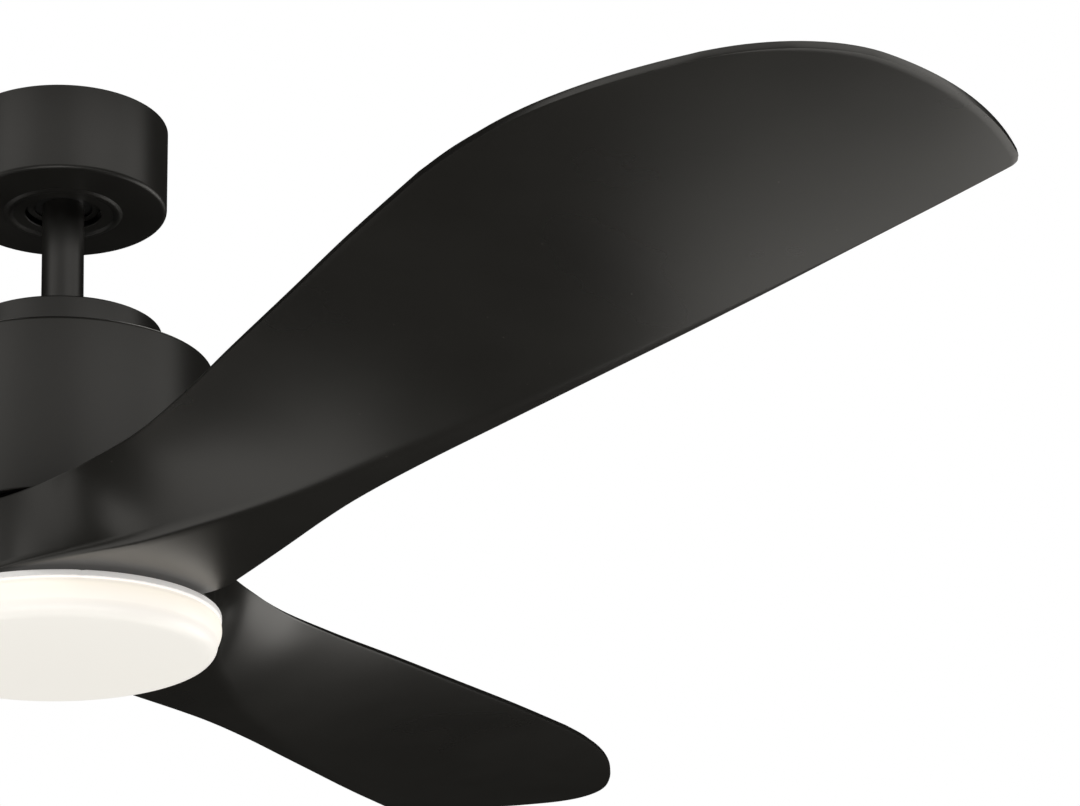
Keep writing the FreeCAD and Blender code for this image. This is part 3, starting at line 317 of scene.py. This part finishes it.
def blade_rows():
    """The whole underside as rows of points: round the root, out along the stations, and round the tip."""
    lines = full_lines()
    first, last = STATIONS[0][0], STATIONS[-1][0]
    shares = np.sort(np.concatenate([np.linspace(0.0, 1.0, ROOT_ROWS), CLOSE_ROWS]))
    rows = []
    root = [spread(before_distance(line, first), shares) for line in lines]
    for lead, ridge, trail, share in zip(*root, shares):
        floor_out = ROOT_OUT + (first - ROOT_OUT) * share ** 2
        rows.append(section(lead, ridge, trail, lead_height(max(lead[0], 0)), floor_height(floor_out)))
    for x in np.linspace(first, last, BLADE_ROWS)[1:]:
        rows.append(section(*(crossing(line, x) for line in lines), lead_height(x), floor_height(x)))
    rows += tip_rows(rows[-1][:, :2])
    return np.array(rows)


def surface_normals(grid):
    """Unit normals of a grid of points, on the side away from the underside."""
    along = np.gradient(grid, axis=0)
    across = np.gradient(grid, axis=1)
    normal = np.cross(along, across)
    size = np.linalg.norm(normal, axis=2, keepdims=True)
    normal = normal / np.maximum(size, 1e-9)
    if normal[len(grid) // 2, 4, 2] < 0:
        normal = -normal
    return normal


def rim_places(rows, columns):
    """The grid's places round the sheet's rim, as (row, column) in order."""
    front = [(row, 0) for row in range(rows)]
    end = [(rows - 1, column) for column in range(1, columns)]
    rear = [(row, columns - 1) for row in range(rows - 2, -1, -1)]
    root = [(0, column) for column in range(columns - 2, 0, -1)]
    return front + end + rear + root


def add_side(mesh, grid, flipped):
    """Adds one side of the sheet to the mesh, and returns its vertices by (row, column)."""
    verts = {}
    for row, points in enumerate(grid):
        for column, point in enumerate(points):
            verts[row, column] = mesh.verts.new(Vector(point) * MM)
    for row in range(len(grid) - 1):
        for column in range(len(grid[0]) - 1):
            corners = [verts[row, column], verts[row + 1, column],
                       verts[row + 1, column + 1], verts[row, column + 1]]
            mesh.faces.new(corners[::-1] if flipped else corners)
    return verts


def blade_mesh(name, azimuth):
    """A blade: a sheet of even thickness with its rim's two edges rounded."""
    under = blade_rows()
    over = under + surface_normals(under) * SHEET_THICK
    mesh = bmesh.new()
    below = add_side(mesh, under, flipped=False)
    above = add_side(mesh, over, flipped=True)
    rim = rim_places(*under.shape[:2])
    pairs = list(zip(rim, rim[1:] + rim[:1]))
    for here, following in pairs:
        mesh.faces.new([below[following], below[here], above[here], above[following]])
    rim_edges = [mesh.edges.get((side[here], side[following])) for side in (below, above)
                 for here, following in pairs]
    bmesh.ops.recalc_face_normals(mesh, faces=mesh.faces)
    bmesh.ops.bevel(mesh, geom=rim_edges, offset=RIM_ROUND * MM, segments=3, profile=0.5, affect="EDGES",
                    clamp_overlap=True)
    mesh.transform(Matrix.Rotation(math.radians(azimuth), 4, "Z"))
    return finished(mesh, name, 40.0)


def finished(mesh, name, sharp_degrees=35.0):
    """Turns a bmesh into a scene object with smooth faces and sharp folds."""
    bmesh.ops.remove_doubles(mesh, verts=mesh.verts, dist=TINY)
    data = bpy.data.meshes.new(name)
    mesh.to_mesh(data)
    mesh.free()
    for polygon in data.polygons:
        polygon.use_smooth = True
    data.set_sharp_from_angle(angle=math.radians(sharp_degrees))
    piece = bpy.data.objects.new(name, data)
    bpy.context.scene.collection.objects.link(piece)
    return piece


# ---- turned pieces -------------------------------------------------------------------------------------

def rounded(points, radii, steps=6):
    """The closed outline with the corners named in radii (index: radius) rounded off by arcs."""
    result = []
    count = len(points)
    for index, point in enumerate(points):
        radius = radii.get(index, 0.0)
        here = Vector((point[0], point[1]))
        if radius <= 0.0:
            result.append(here)
            continue
        before = (Vector(points[index - 1]) - here).normalized()
        after = (Vector(points[(index + 1) % count]) - here).normalized()
        half = before.angle(after) / 2
        back = radius / math.tan(half)
        centre = here + (before + after).normalized() * (radius / math.sin(half))
        start = here + before * back - centre
        end = here + after * back - centre
        sweep = start.angle_signed(end)
        for step in range(steps + 1):
            turned = Matrix.Rotation(-sweep * step / steps, 2) @ start
            result.append(centre + turned)
    return result


def turned(name, outline, segments=180, closed=True):
    """A solid turned about the fan's axis from an outline of (radius, height)."""
    mesh = bmesh.new()
    rings = []
    for radius, height in outline:
        if radius < TINY:
            rings.append([mesh.verts.new((0, 0, height))] * segments)
            continue
        ring = []
        for step in range(segments):
            angle = 2 * math.pi * step / segments
            ring.append(mesh.verts.new((radius * math.cos(angle), radius * math.sin(angle), height)))
        rings.append(ring)
    pairs = list(zip(rings, rings[1:]))
    if closed:
        pairs.append((rings[-1], rings[0]))
    for first, second in pairs:
        for step in range(segments):
            following = (step + 1) % segments
            corners = [first[step], first[following], second[following], second[step]]
            unique = list(dict.fromkeys(corners))
            if len(unique) > 2:
                mesh.faces.new(unique)
    bmesh.ops.recalc_face_normals(mesh, faces=mesh.faces)
    return finished(mesh, name)


# ---- materials -----------------------------------------------------------------------------------------

DARKEST_PAINT = (0.0125, 0.012, 0.0108)
DUST = (0.11, 0.105, 0.095)


def new_material(name):
    material = bpy.data.materials.new(name)
    material.use_nodes = True
    tree = material.node_tree
    shader = tree.nodes["Principled BSDF"]
    return material, tree, shader


def place(tree, scale=1.0):
    """Object coordinates in metres, stretched by scale."""
    coordinates = tree.nodes.new("ShaderNodeTexCoord")
    mapping = tree.nodes.new("ShaderNodeMapping")
    scales = scale if isinstance(scale, tuple) else (scale, scale, scale)
    mapping.inputs["Scale"].default_value = scales
    tree.links.new(coordinates.outputs["Object"], mapping.inputs["Vector"])
    return mapping.outputs["Vector"]


def noise(tree, scale, detail=2.0, rough=0.5, vector=None):
    texture = tree.nodes.new("ShaderNodeTexNoise")
    texture.inputs["Scale"].default_value = scale
    texture.inputs["Detail"].default_value = detail
    texture.inputs["Roughness"].default_value = rough
    tree.links.new(vector or place(tree), texture.inputs["Vector"])
    return texture.outputs["Fac"]


def ramp(tree, source, stops):
    item = tree.nodes.new("ShaderNodeValToRGB")
    elements = item.color_ramp.elements
    while len(elements) < len(stops):
        elements.new(0.5)
    for element, (position, colour) in zip(elements, stops):
        element.position = position
        element.color = (*colour, 1.0) if len(colour) == 3 else colour
    tree.links.new(source, item.inputs["Fac"])
    return item.outputs["Color"]


def grey(value):
    return (value, value, value)


def bump(tree, shader, source, strength, distance):
    item = tree.nodes.new("ShaderNodeBump")
    item.inputs["Strength"].default_value = strength
    item.inputs["Distance"].default_value = distance
    tree.links.new(source, item.inputs["Height"])
    tree.links.new(item.outputs["Normal"], shader.inputs["Normal"])


def mixed(tree, share, first, second):
    item = tree.nodes.new("ShaderNodeMix")
    item.data_type = "RGBA"
    tree.links.new(share, item.inputs["Factor"])
    for key, value in (("A", first), ("B", second)):
        socket = [s for s in item.inputs if s.name == key and s.type == "RGBA"][0]
        if isinstance(value, tuple):
            socket.default_value = (*value, 1.0)
        else:
            tree.links.new(value, socket)
    return [s for s in item.outputs if s.type == "RGBA"][0]


def specks(tree, scale, size):
    """1 in small scattered dots, 0 elsewhere."""
    cells = tree.nodes.new("ShaderNodeTexVoronoi")
    cells.inputs["Scale"].default_value = scale
    tree.links.new(place(tree), cells.inputs["Vector"])
    return ramp(tree, cells.outputs["Distance"], [(0.0, grey(1.0)), (size, grey(0.0))])


def matte_black(name, dark, light, rough_low, rough_high, grain, dust=0.0):
    """Black paint or moulded plastic: a slightly uneven tone, a fine grain, and specks of dust."""
    material, tree, shader = new_material(name)
    tone = ramp(tree, noise(tree, 9.0, 3.0, 0.6), [(0.3, dark), (0.7, light)])
    if dust:
        tone = mixed(tree, specks(tree, 55.0, dust), tone, DUST)
    tree.links.new(tone, shader.inputs["Base Color"])
    rough = ramp(tree, noise(tree, 9.0, 3.0, 0.5), [(0.3, grey(rough_low)), (0.7, grey(rough_high))])
    tree.links.new(rough, shader.inputs["Roughness"])
    bump(tree, shader, noise(tree, grain, 2.0, 0.6), 0.05, 0.00006)
    shader.inputs["Specular IOR Level"].default_value = 0.5
    return material


def height_share(tree, bottom, top):
    """0 at the bottom height and 1 at the top."""
    coordinates = tree.nodes.new("ShaderNodeTexCoord")
    split = tree.nodes.new("ShaderNodeSeparateXYZ")
    tree.links.new(coordinates.outputs["Object"], split.inputs["Vector"])
    level = tree.nodes.new("ShaderNodeMapRange")
    level.inputs["From Min"].default_value = bottom
    level.inputs["From Max"].default_value = top
    tree.links.new(split.outputs["Z"], level.inputs["Value"])
    return level.outputs["Result"]


def opal():
    """Opal plastic lit from inside: a bright warm side and a calmer, faintly clouded face."""
    material, tree, shader = new_material("opal_lens")
    shader.inputs["Base Color"].default_value = (0.50, 0.49, 0.47, 1.0)
    shader.inputs["Roughness"].default_value = 0.34
    shader.inputs["Emission Strength"].default_value = 1.0
    glow = ramp(tree, height_share(tree, LENS_BOTTOM, LENS_TOP), [
        (0.0, (0.565, 0.55, 0.515)),
        (0.07, (0.575, 0.56, 0.525)),
        (0.30, (0.72, 0.69, 0.65)),
        (0.85, (0.87, 0.80, 0.69)),
        (1.0, (0.66, 0.61, 0.55))])
    cloud = ramp(tree, noise(tree, 14.0, 3.0, 0.6), [(0.35, grey(0.0)), (0.8, grey(0.18))])
    glow = mixed(tree, cloud, glow, (0.59, 0.565, 0.515))
    glow = mixed(tree, specks(tree, 60.0, 0.03), glow, (0.52, 0.49, 0.43))
    tree.links.new(glow, shader.inputs["Emission Color"])
    bump(tree, shader, noise(tree, 260.0, 2.0), 0.03, 0.0002)
    return material


def metal(name, colour, rough, stretch=(40.0, 40.0, 2000.0), strength=0.15):
    """Bare metal with the fine lines of turning or rolling."""
    material, tree, shader = new_material(name)
    shader.inputs["Metallic"].default_value = 1.0
    lines = noise(tree, 1.0, 3.0, 0.6, place(tree, stretch))
    darker = tuple(c * 0.72 for c in colour)
    tree.links.new(ramp(tree, lines, [(0.3, darker), (0.7, colour)]), shader.inputs["Base Color"])
    tree.links.new(ramp(tree, noise(tree, 60.0), [(0.3, grey(rough - 0.08)), (0.7, grey(rough + 0.1))]),
                   shader.inputs["Roughness"])
    bump(tree, shader, lines, strength, 0.0002)
    return material


def plastic(name, colour, rough):
    """Moulded plastic: a faintly uneven tone and a fine grain."""
    material, tree, shader = new_material(name)
    darker = tuple(c * 0.86 for c in colour)
    tone = ramp(tree, noise(tree, 16.0, 3.0), [(0.3, darker), (0.7, colour)])
    tree.links.new(tone, shader.inputs["Base Color"])
    tree.links.new(ramp(tree, noise(tree, 70.0), [(0.3, grey(rough - 0.05)), (0.7, grey(rough + 0.07))]),
                   shader.inputs["Roughness"])
    bump(tree, shader, noise(tree, 900.0), 0.12, 0.0002)
    return material


def ring_with_painted_glow():
    """White plastic with a painted glow: an even emission stands in for the lens's light falling on the
    ring.
    """
    material = plastic("ring_grey", (0.80, 0.80, 0.81), 0.42)
    shader = material.node_tree.nodes["Principled BSDF"]
    # painted light: the ring gives out a faint glow of its own in place of the lens's light falling on it
    shader.inputs["Emission Color"].default_value = (0.33, 0.32, 0.31, 1.0)
    shader.inputs["Emission Strength"].default_value = 1.0
    return material


def layered(name, light, dark, spacing, metallic, rough):
    """Stacked sheets or turns of wire: fine bands up the piece."""
    material, tree, shader = new_material(name)
    wave = tree.nodes.new("ShaderNodeTexWave")
    wave.bands_direction = "Z"
    wave.inputs["Scale"].default_value = 1.0 / spacing / 6.0
    wave.inputs["Distortion"].default_value = 0.4
    tree.links.new(place(tree), wave.inputs["Vector"])
    tree.links.new(ramp(tree, wave.outputs["Fac"], [(0.2, dark), (0.8, light)]), shader.inputs["Base Color"])
    shader.inputs["Metallic"].default_value = metallic
    shader.inputs["Roughness"].default_value = rough
    bump(tree, shader, wave.outputs["Fac"], 0.5, 0.0004)
    return material


def circuit(name, mask, track):
    """A printed board: solder mask with paler tracks."""
    material, tree, shader = new_material(name)
    bricks = tree.nodes.new("ShaderNodeTexBrick")
    bricks.inputs["Scale"].default_value = 90.0
    bricks.inputs["Mortar Size"].default_value = 0.035
    bricks.inputs["Color1"].default_value = (*mask, 1.0)
    bricks.inputs["Color2"].default_value = (*(c * 0.8 for c in mask), 1.0)
    bricks.inputs["Mortar"].default_value = (*track, 1.0)
    tree.links.new(place(tree), bricks.inputs["Vector"])
    tree.links.new(bricks.outputs["Color"], shader.inputs["Base Color"])
    shader.inputs["Roughness"].default_value = 0.35
    return material


def chip_material():
    material, tree, shader = new_material("led_chip")
    tree.links.new(ramp(tree, noise(tree, 300.0), [(0.3, (0.9, 0.72, 0.2)), (0.7, (1.0, 0.85, 0.35))]),
                   shader.inputs["Base Color"])
    shader.inputs["Roughness"].default_value = 0.3
    shader.inputs["Emission Color"].default_value = (1.0, 0.85, 0.55, 1.0)
    shader.inputs["Emission Strength"].default_value = 2.0
    return material


def black_materials():
    """The blacks, by slot: darkest and lightest tone, lowest and highest roughness, grain and dust."""
    blacks = {
        "black_paint": (DARKEST_PAINT, (0.0175, 0.017, 0.0155), 0.37, 0.395, 1500.0),
        "black_blade": (DARKEST_PAINT, (0.0165, 0.016, 0.0145), 0.27, 0.295, 1100.0, 0.035),
        "black_screw": (grey(0.012), grey(0.02), 0.3, 0.45, 2500.0),
        "black_hub": (grey(0.008), (0.013, 0.013, 0.012), 0.5, 0.62, 1300.0),
        "ball_plastic": (grey(0.012), grey(0.018), 0.26, 0.36, 900.0),
    }
    return {slot: matte_black(slot, *look) for slot, look in blacks.items()}


def make_materials():
    return black_materials() | {
        "bracket_steel": metal("bracket_steel", (0.42, 0.43, 0.44), 0.42, (900.0, 60.0, 60.0)),
        "steel": metal("steel", (0.5, 0.5, 0.51), 0.32),
        "cast_metal": metal("cast_metal", (0.5, 0.5, 0.5), 0.5, (700.0, 700.0, 700.0), 0.3),
        "bearing_steel": metal("bearing_steel", (0.62, 0.62, 0.63), 0.18),
        "stator_steel": layered("stator_steel", (0.32, 0.32, 0.33), (0.12, 0.12, 0.12), 0.001, 0.9, 0.45),
        "copper": layered("copper", (0.75, 0.33, 0.14), (0.35, 0.12, 0.04), 0.0016, 0.9, 0.3),
        "magnet": metal("magnet", (0.2, 0.2, 0.21), 0.5, (500.0, 500.0, 500.0)),
        "circuit_board": circuit("circuit_board", (0.02, 0.13, 0.05), (0.10, 0.30, 0.12)),
        "led_board": circuit("led_board", (0.78, 0.78, 0.75), (0.62, 0.62, 0.58)),
        "led_chip": chip_material(),
        "pan_paint": plastic("pan_paint", (0.72, 0.72, 0.70), 0.42),
        "case_plastic": plastic("case_plastic", (0.55, 0.55, 0.53), 0.45),
        "ring_grey": ring_with_painted_glow(),
        "opal_lens": opal(),
    }


MATERIALS = make_materials()


def wear(piece, slot):
    piece.data.materials.clear()
    piece.data.materials.append(MATERIALS[slot])


def settle(piece, body, slot, *nodes):
    """Gives a piece its material and its body, and hides the CAD nodes that it stands for."""
    wear(piece, slot)
    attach(piece, body)
    if nodes:
        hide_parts(*nodes)


# ---- the pieces ----------------------------------------------------------------------------------------

def make_blades():
    for node, azimuth in BLADE_AZIMUTHS.items():
        settle(blade_mesh(f"{node}_sheet", azimuth), "rotor", "black_blade", node)


def make_canopy():
    """The canopy's shell, with a bead round the opening that the rod comes through."""
    wall = 1.3 * MM
    lower = CANOPY_RADIUS - 1.0 * MM
    opening = 25.0 * MM
    bead = 36.0 * MM
    bead_half = 3.2 * MM
    bead_corner = CANOPY_BOTTOM - 1.9 * MM
    bottom = CANOPY_BOTTOM
    inside = CANOPY_BOTTOM + wall
    outline = rounded([
        (opening, bottom), (bead - bead_half, bottom), (bead, bead_corner), (bead + bead_half, bottom),
        (lower, bottom), (CANOPY_RADIUS, 0.0), (CANOPY_RADIUS - wall, 0.0), (lower - wall, inside),
        (bead + bead_half, inside), (opening, inside)],
        {0: 0.5 * MM, 1: 2.0 * MM, 2: 3.0 * MM, 3: 2.0 * MM, 4: 3.0 * MM, 5: 0.3 * MM, 9: 0.5 * MM})
    settle(turned("canopy_shell", outline), "ceiling_mount", "black_paint", "canopy")


def make_ball():
    """The hanger ball: a moulded ball with grooves round its lower half."""
    centre = (BALL_TOP + BALL_BOTTOM) / 2
    half = (BALL_TOP - BALL_BOTTOM) / 2
    skin = BALL_RADIUS - 0.02 * MM
    bore = ROD_RADIUS + 0.6 * MM
    groove_depth = 0.7 * MM
    grooves_below = -0.12
    steps = 64
    top_angle = math.asin(half / BALL_RADIUS)
    outline = [(bore, centre + half)]
    for step in range(steps + 1):
        angle = top_angle - 2 * top_angle * step / steps
        grooved = angle < grooves_below and step % 8 < 2
        radius = skin - groove_depth if grooved else skin
        outline.append((radius * math.cos(angle), centre + radius * math.sin(angle)))
    outline.append((bore, centre - half))
    settle(turned("hanger_ball_body", outline), "hanging_frame", "ball_plastic", "hanger_ball")


def make_rod():
    """The downrod, drawn a little thicker than the CAD tube; the ball's bore and the cap's hole clear it."""
    outer = ROD_RADIUS + 0.45 * MM
    inner = ROD_RADIUS - 2.4 * MM
    outline = rounded([(inner, ROD_BOTTOM), (outer, ROD_BOTTOM), (outer, ROD_TOP), (inner, ROD_TOP)],
                      {1: 0.6 * MM, 2: 0.6 * MM})
    settle(turned("downrod_tube", outline, 96), "hanging_frame", "black_paint", "downrod")


def make_cap():
    """The cap over the coupling, on top of the housing."""
    wall = 1.2 * MM
    hole = 14.4 * MM
    outline = rounded([
        (CAP_RADIUS - wall, HOUSING_TOP), (CAP_RADIUS, HOUSING_TOP), (CAP_RADIUS, CAP_TOP), (hole, CAP_TOP),
        (hole, CAP_TOP - wall), (CAP_RADIUS - wall, CAP_TOP - wall)],
        {2: 1.2 * MM, 3: 0.5 * MM})
    settle(turned("coupling_cap", outline), "hanging_frame", "black_paint", "coupling_cover")


def make_housing():
    """The motor housing: an open-bottomed drum with a small lip turned in."""
    wall = 1.5 * MM
    inner = HOUSING_RADIUS - wall
    lip = inner - 3.0 * MM
    hole = 9.0 * MM
    bottom = HOUSING_BOTTOM
    lip_top = HOUSING_BOTTOM + 2.5 * MM
    ceiling = HOUSING_TOP - wall
    outline = rounded([
        (lip, bottom), (HOUSING_RADIUS, bottom), (HOUSING_RADIUS, HOUSING_TOP), (hole, HOUSING_TOP),
        (hole, ceiling), (inner, ceiling), (inner, lip_top), (lip, lip_top)],
        {0: 0.4 * MM, 1: 1.1 * MM, 2: 2.6 * MM})
    settle(turned("motor_housing_shell", outline), "hanging_frame", "black_paint", "motor_housing")


def press_notch(piece, azimuth, half_width, depth):
    """Presses a small rounded notch into the ring's rim."""
    for vertex in piece.data.vertices:
        point = vertex.co
        along = abs(math.atan2(point.y, point.x) - azimuth) * RING_RADIUS
        if along < half_width and math.hypot(point.x, point.y) > RING_RADIUS - 3 * MM:
            pressed = depth * (1 - (along / half_width) ** 2)
            vertex.co.x -= pressed * math.cos(azimuth)
            vertex.co.y -= pressed * math.sin(azimuth)


def make_ring():
    """The trim ring above the lens, with one notch at the front."""
    inner = RING_RADIUS - 11.9 * MM
    outline = rounded([
        (inner, RING_BOTTOM), (RING_RADIUS, RING_BOTTOM), (RING_RADIUS, RING_TOP), (inner, RING_TOP)],
        {1: 0.5 * MM, 2: 0.8 * MM})
    piece = turned("lens_ring_trim", outline, 240)
    press_notch(piece, math.radians(-83.0), 1.6 * MM, 1.4 * MM)
    settle(piece, "hanging_frame", "ring_grey", "lens_ring")


def lens_outline():
    """The dish's outside from its centre up to its top edge."""
    shoulder = 99.5 * MM
    widest_z = LENS_TOP - 5.0 * MM
    lower = 99.3 * MM
    side_z = LENS_BOTTOM + 10.5 * MM
    flat = 90.3 * MM
    crown = 1.5 * MM
    edge = 9.0 * MM
    outline = [(0.0, LENS_BOTTOM)]
    for step in range(1, 9):
        share = step / 8
        outline.append((flat * share, LENS_BOTTOM + crown * share ** 2))
    for step in range(1, 13):
        angle = math.radians(-90 + 82 * step / 12)
        outline.append((flat + edge * math.cos(angle), LENS_BOTTOM + crown + edge + edge * math.sin(angle)))
    for step in range(1, 15):
        share = step / 14
        radius = lower + (LENS_RADIUS - lower) * math.sin(share * math.pi / 2)
        outline.append((radius, side_z + (widest_z - side_z) * share))
    for step in range(1, 9):
        angle = math.radians(90 * step / 8)
        radius = shoulder + (LENS_RADIUS - shoulder) * math.cos(angle)
        outline.append((radius, widest_z + (LENS_TOP - widest_z) * math.sin(angle)))
    return outline


def make_lens():
    """The opal dish: a soft shoulder under the ring, a side that leans in, and a nearly flat face."""
    wall = 2.2 * MM
    outer = lens_outline()
    inner = [(max(radius - wall, 0.0), min(height + wall, LENS_TOP)) for radius, height in outer[::-1]]
    inner[-1] = (0.0, LENS_BOTTOM + wall)
    settle(turned("lens_dish", outer + inner, 200, closed=False), "lens_cover", "opal_lens", "lens")


def dress_cad_nodes():
    """Gives every CAD node the material that its slot names."""
    slots = {entry["node"]: entry["material_slot"] for entry in frame["record"]["subparts"]}
    for node, piece in frame["nodes"].items():
        wear(piece, slots[node])


# ---- floor, light and camera ---------------------------------------------------------------------------

FLOOR_Z = -2.6
PANEL_Z = -2.55
LIT_CENTRE = Vector((0.2, -0.1, -0.3))
BOX_DISTANCE = 3.0
BOX_SIZE = (2.2, 1.4)
WARM_WHITE = (1.0, 0.975, 0.925)
BOXES = (  # name, azimuth, elevation, radiance
    ("box_left", -150.0, 25.0, 1.4),
    ("box_front", -105.0, 25.0, 1.0),
    ("box_right", -60.0, 25.0, 1.6),
    ("box_side", -15.0, 25.0, 1.3),
    ("box_low_right", 30.0, -22.0, 1.9),
    ("wall_left", 180.0, 0.0, 0.8),
    ("box_back", 90.0, 60.0, 2.5),
)
PANELS = (  # name, x, y, size, radiance
    ("panel_front", 0.2, -2.6, (4.0, 2.6), 2.2),
    ("panel_centre", 0.2, 0.0, (1.6, 1.6), 1.0),
    ("panel_back_right", 1.5, 1.7, (1.5, 1.2), 1.6),
    ("panel_right", 2.2, 0.9, (1.2, 0.9), 1.9),
    ("panel_far_right", 4.09, 1.57, (2.6, 2.2), 1.5),
    ("panel_back_left", -1.53, 1.0, (2.2, 2.2), 0.95),
    ("panel_far_left", -3.6, -0.6, (1.6, 1.8), 1.6),
)
CAMERA_PLACE = (0.0, -1.6810, -0.8696)
CAMERA_YAW = 0.18554
CAMERA_PITCH = 0.37713
CAMERA_ROLL = -0.05797
CAMERA_LENS = 91.66
SENSOR_WIDTH = 36.0


def make_floor():
    """A pale floor, kept out of reflections and bounced light, so that it can look pale and cast none."""
    mesh = bmesh.new()
    bmesh.ops.create_grid(mesh, x_segments=2, y_segments=2, size=30.0)
    floor = finished(mesh, "floor")
    floor.location = (0, 0, FLOOR_Z)
    material, tree, shader = new_material("pale_floor")
    tone = ramp(tree, noise(tree, 3.0), [(0.3, (0.62, 0.62, 0.61)), (0.7, (0.66, 0.66, 0.65))])
    tree.links.new(tone, shader.inputs["Base Color"])
    shader.inputs["Roughness"].default_value = 0.8
    shader.inputs["Emission Color"].default_value = (0.72, 0.72, 0.71, 1.0)
    shader.inputs["Emission Strength"].default_value = 1.0
    floor.data.materials.append(material)
    floor.visible_glossy = False
    floor.visible_diffuse = False


def background(tree, colour, strength):
    node = tree.nodes.new("ShaderNodeBackground")
    node.inputs["Color"].default_value = (*colour, 1.0)
    node.inputs["Strength"].default_value = strength
    return node.outputs["Background"]


def make_world():
    """White to look at, and much dimmer as a light, so that black surfaces keep their depth."""
    world = bpy.data.worlds.new("studio")
    bpy.context.scene.world = world
    world.use_nodes = True
    tree = world.node_tree
    tree.nodes.clear()
    output = tree.nodes.new("ShaderNodeOutputWorld")
    path = tree.nodes.new("ShaderNodeLightPath")
    mix = tree.nodes.new("ShaderNodeMixShader")
    tree.links.new(path.outputs["Is Camera Ray"], mix.inputs["Fac"])
    tree.links.new(background(tree, (1.0, 0.99, 0.97), 0.01), mix.inputs[1])
    tree.links.new(background(tree, (1.0, 1.0, 1.0), 1.0), mix.inputs[2])
    tree.links.new(mix.outputs["Shader"], output.inputs["Surface"])


def area_light(name, position, target, size, radiance):
    """A rectangular light that faces its target and looks equally bright whatever its size."""
    data = bpy.data.lights.new(name, "AREA")
    data.shape = "RECTANGLE"
    data.size = size[0]
    data.size_y = size[1]
    data.energy = math.pi * size[0] * size[1] * radiance
    data.color = WARM_WHITE
    lamp = bpy.data.objects.new(name, data)
    lamp.location = position
    lamp.rotation_mode = "QUATERNION"
    lamp.rotation_quaternion = (Vector(target) - Vector(position)).to_track_quat("-Z", "Y")
    lamp.visible_camera = False
    bpy.context.scene.collection.objects.link(lamp)


def make_lights():
    """Soft boxes round the fan, and flat panels below that light the blades' undersides."""
    for name, azimuth, elevation, radiance in BOXES:
        turn = math.radians(azimuth)
        tilt = math.radians(elevation)
        way = Vector((math.cos(turn) * math.cos(tilt), math.sin(turn) * math.cos(tilt), math.sin(tilt)))
        area_light(name, LIT_CENTRE + BOX_DISTANCE * way, LIT_CENTRE, BOX_SIZE, radiance)
    for name, x, y, size, radiance in PANELS:
        area_light(name, (x, y, PANEL_Z), (x, y, 0.0), size, radiance)


def make_camera():
    """The photograph's view: from below and in front, turned a little to the right."""
    data = bpy.data.cameras.new("camera")
    data.sensor_width = SENSOR_WIDTH
    data.lens = CAMERA_LENS
    camera = bpy.data.objects.new("camera", data)
    bpy.context.scene.collection.objects.link(camera)
    level = math.cos(CAMERA_PITCH)
    forward = Vector((math.sin(CAMERA_YAW) * level, math.cos(CAMERA_YAW) * level, math.sin(CAMERA_PITCH)))
    right = Vector((math.cos(CAMERA_YAW), -math.sin(CAMERA_YAW), 0.0))
    up = right.cross(forward)
    turned_right = right * math.cos(CAMERA_ROLL) + up * math.sin(CAMERA_ROLL)
    turned_up = up * math.cos(CAMERA_ROLL) - right * math.sin(CAMERA_ROLL)
    basis = Matrix((turned_right, turned_up, -forward)).transposed()
    camera.rotation_mode = "QUATERNION"
    camera.rotation_quaternion = basis.to_quaternion()
    camera.location = CAMERA_PLACE
    bpy.context.scene.camera = camera
    bpy.context.scene.view_settings.view_transform = "Standard"


dress_cad_nodes()
make_blades()
make_canopy()
make_ball()
make_rod()
make_cap()
make_housing()
make_ring()
make_lens()
make_floor()
make_world()
make_lights()
make_camera()
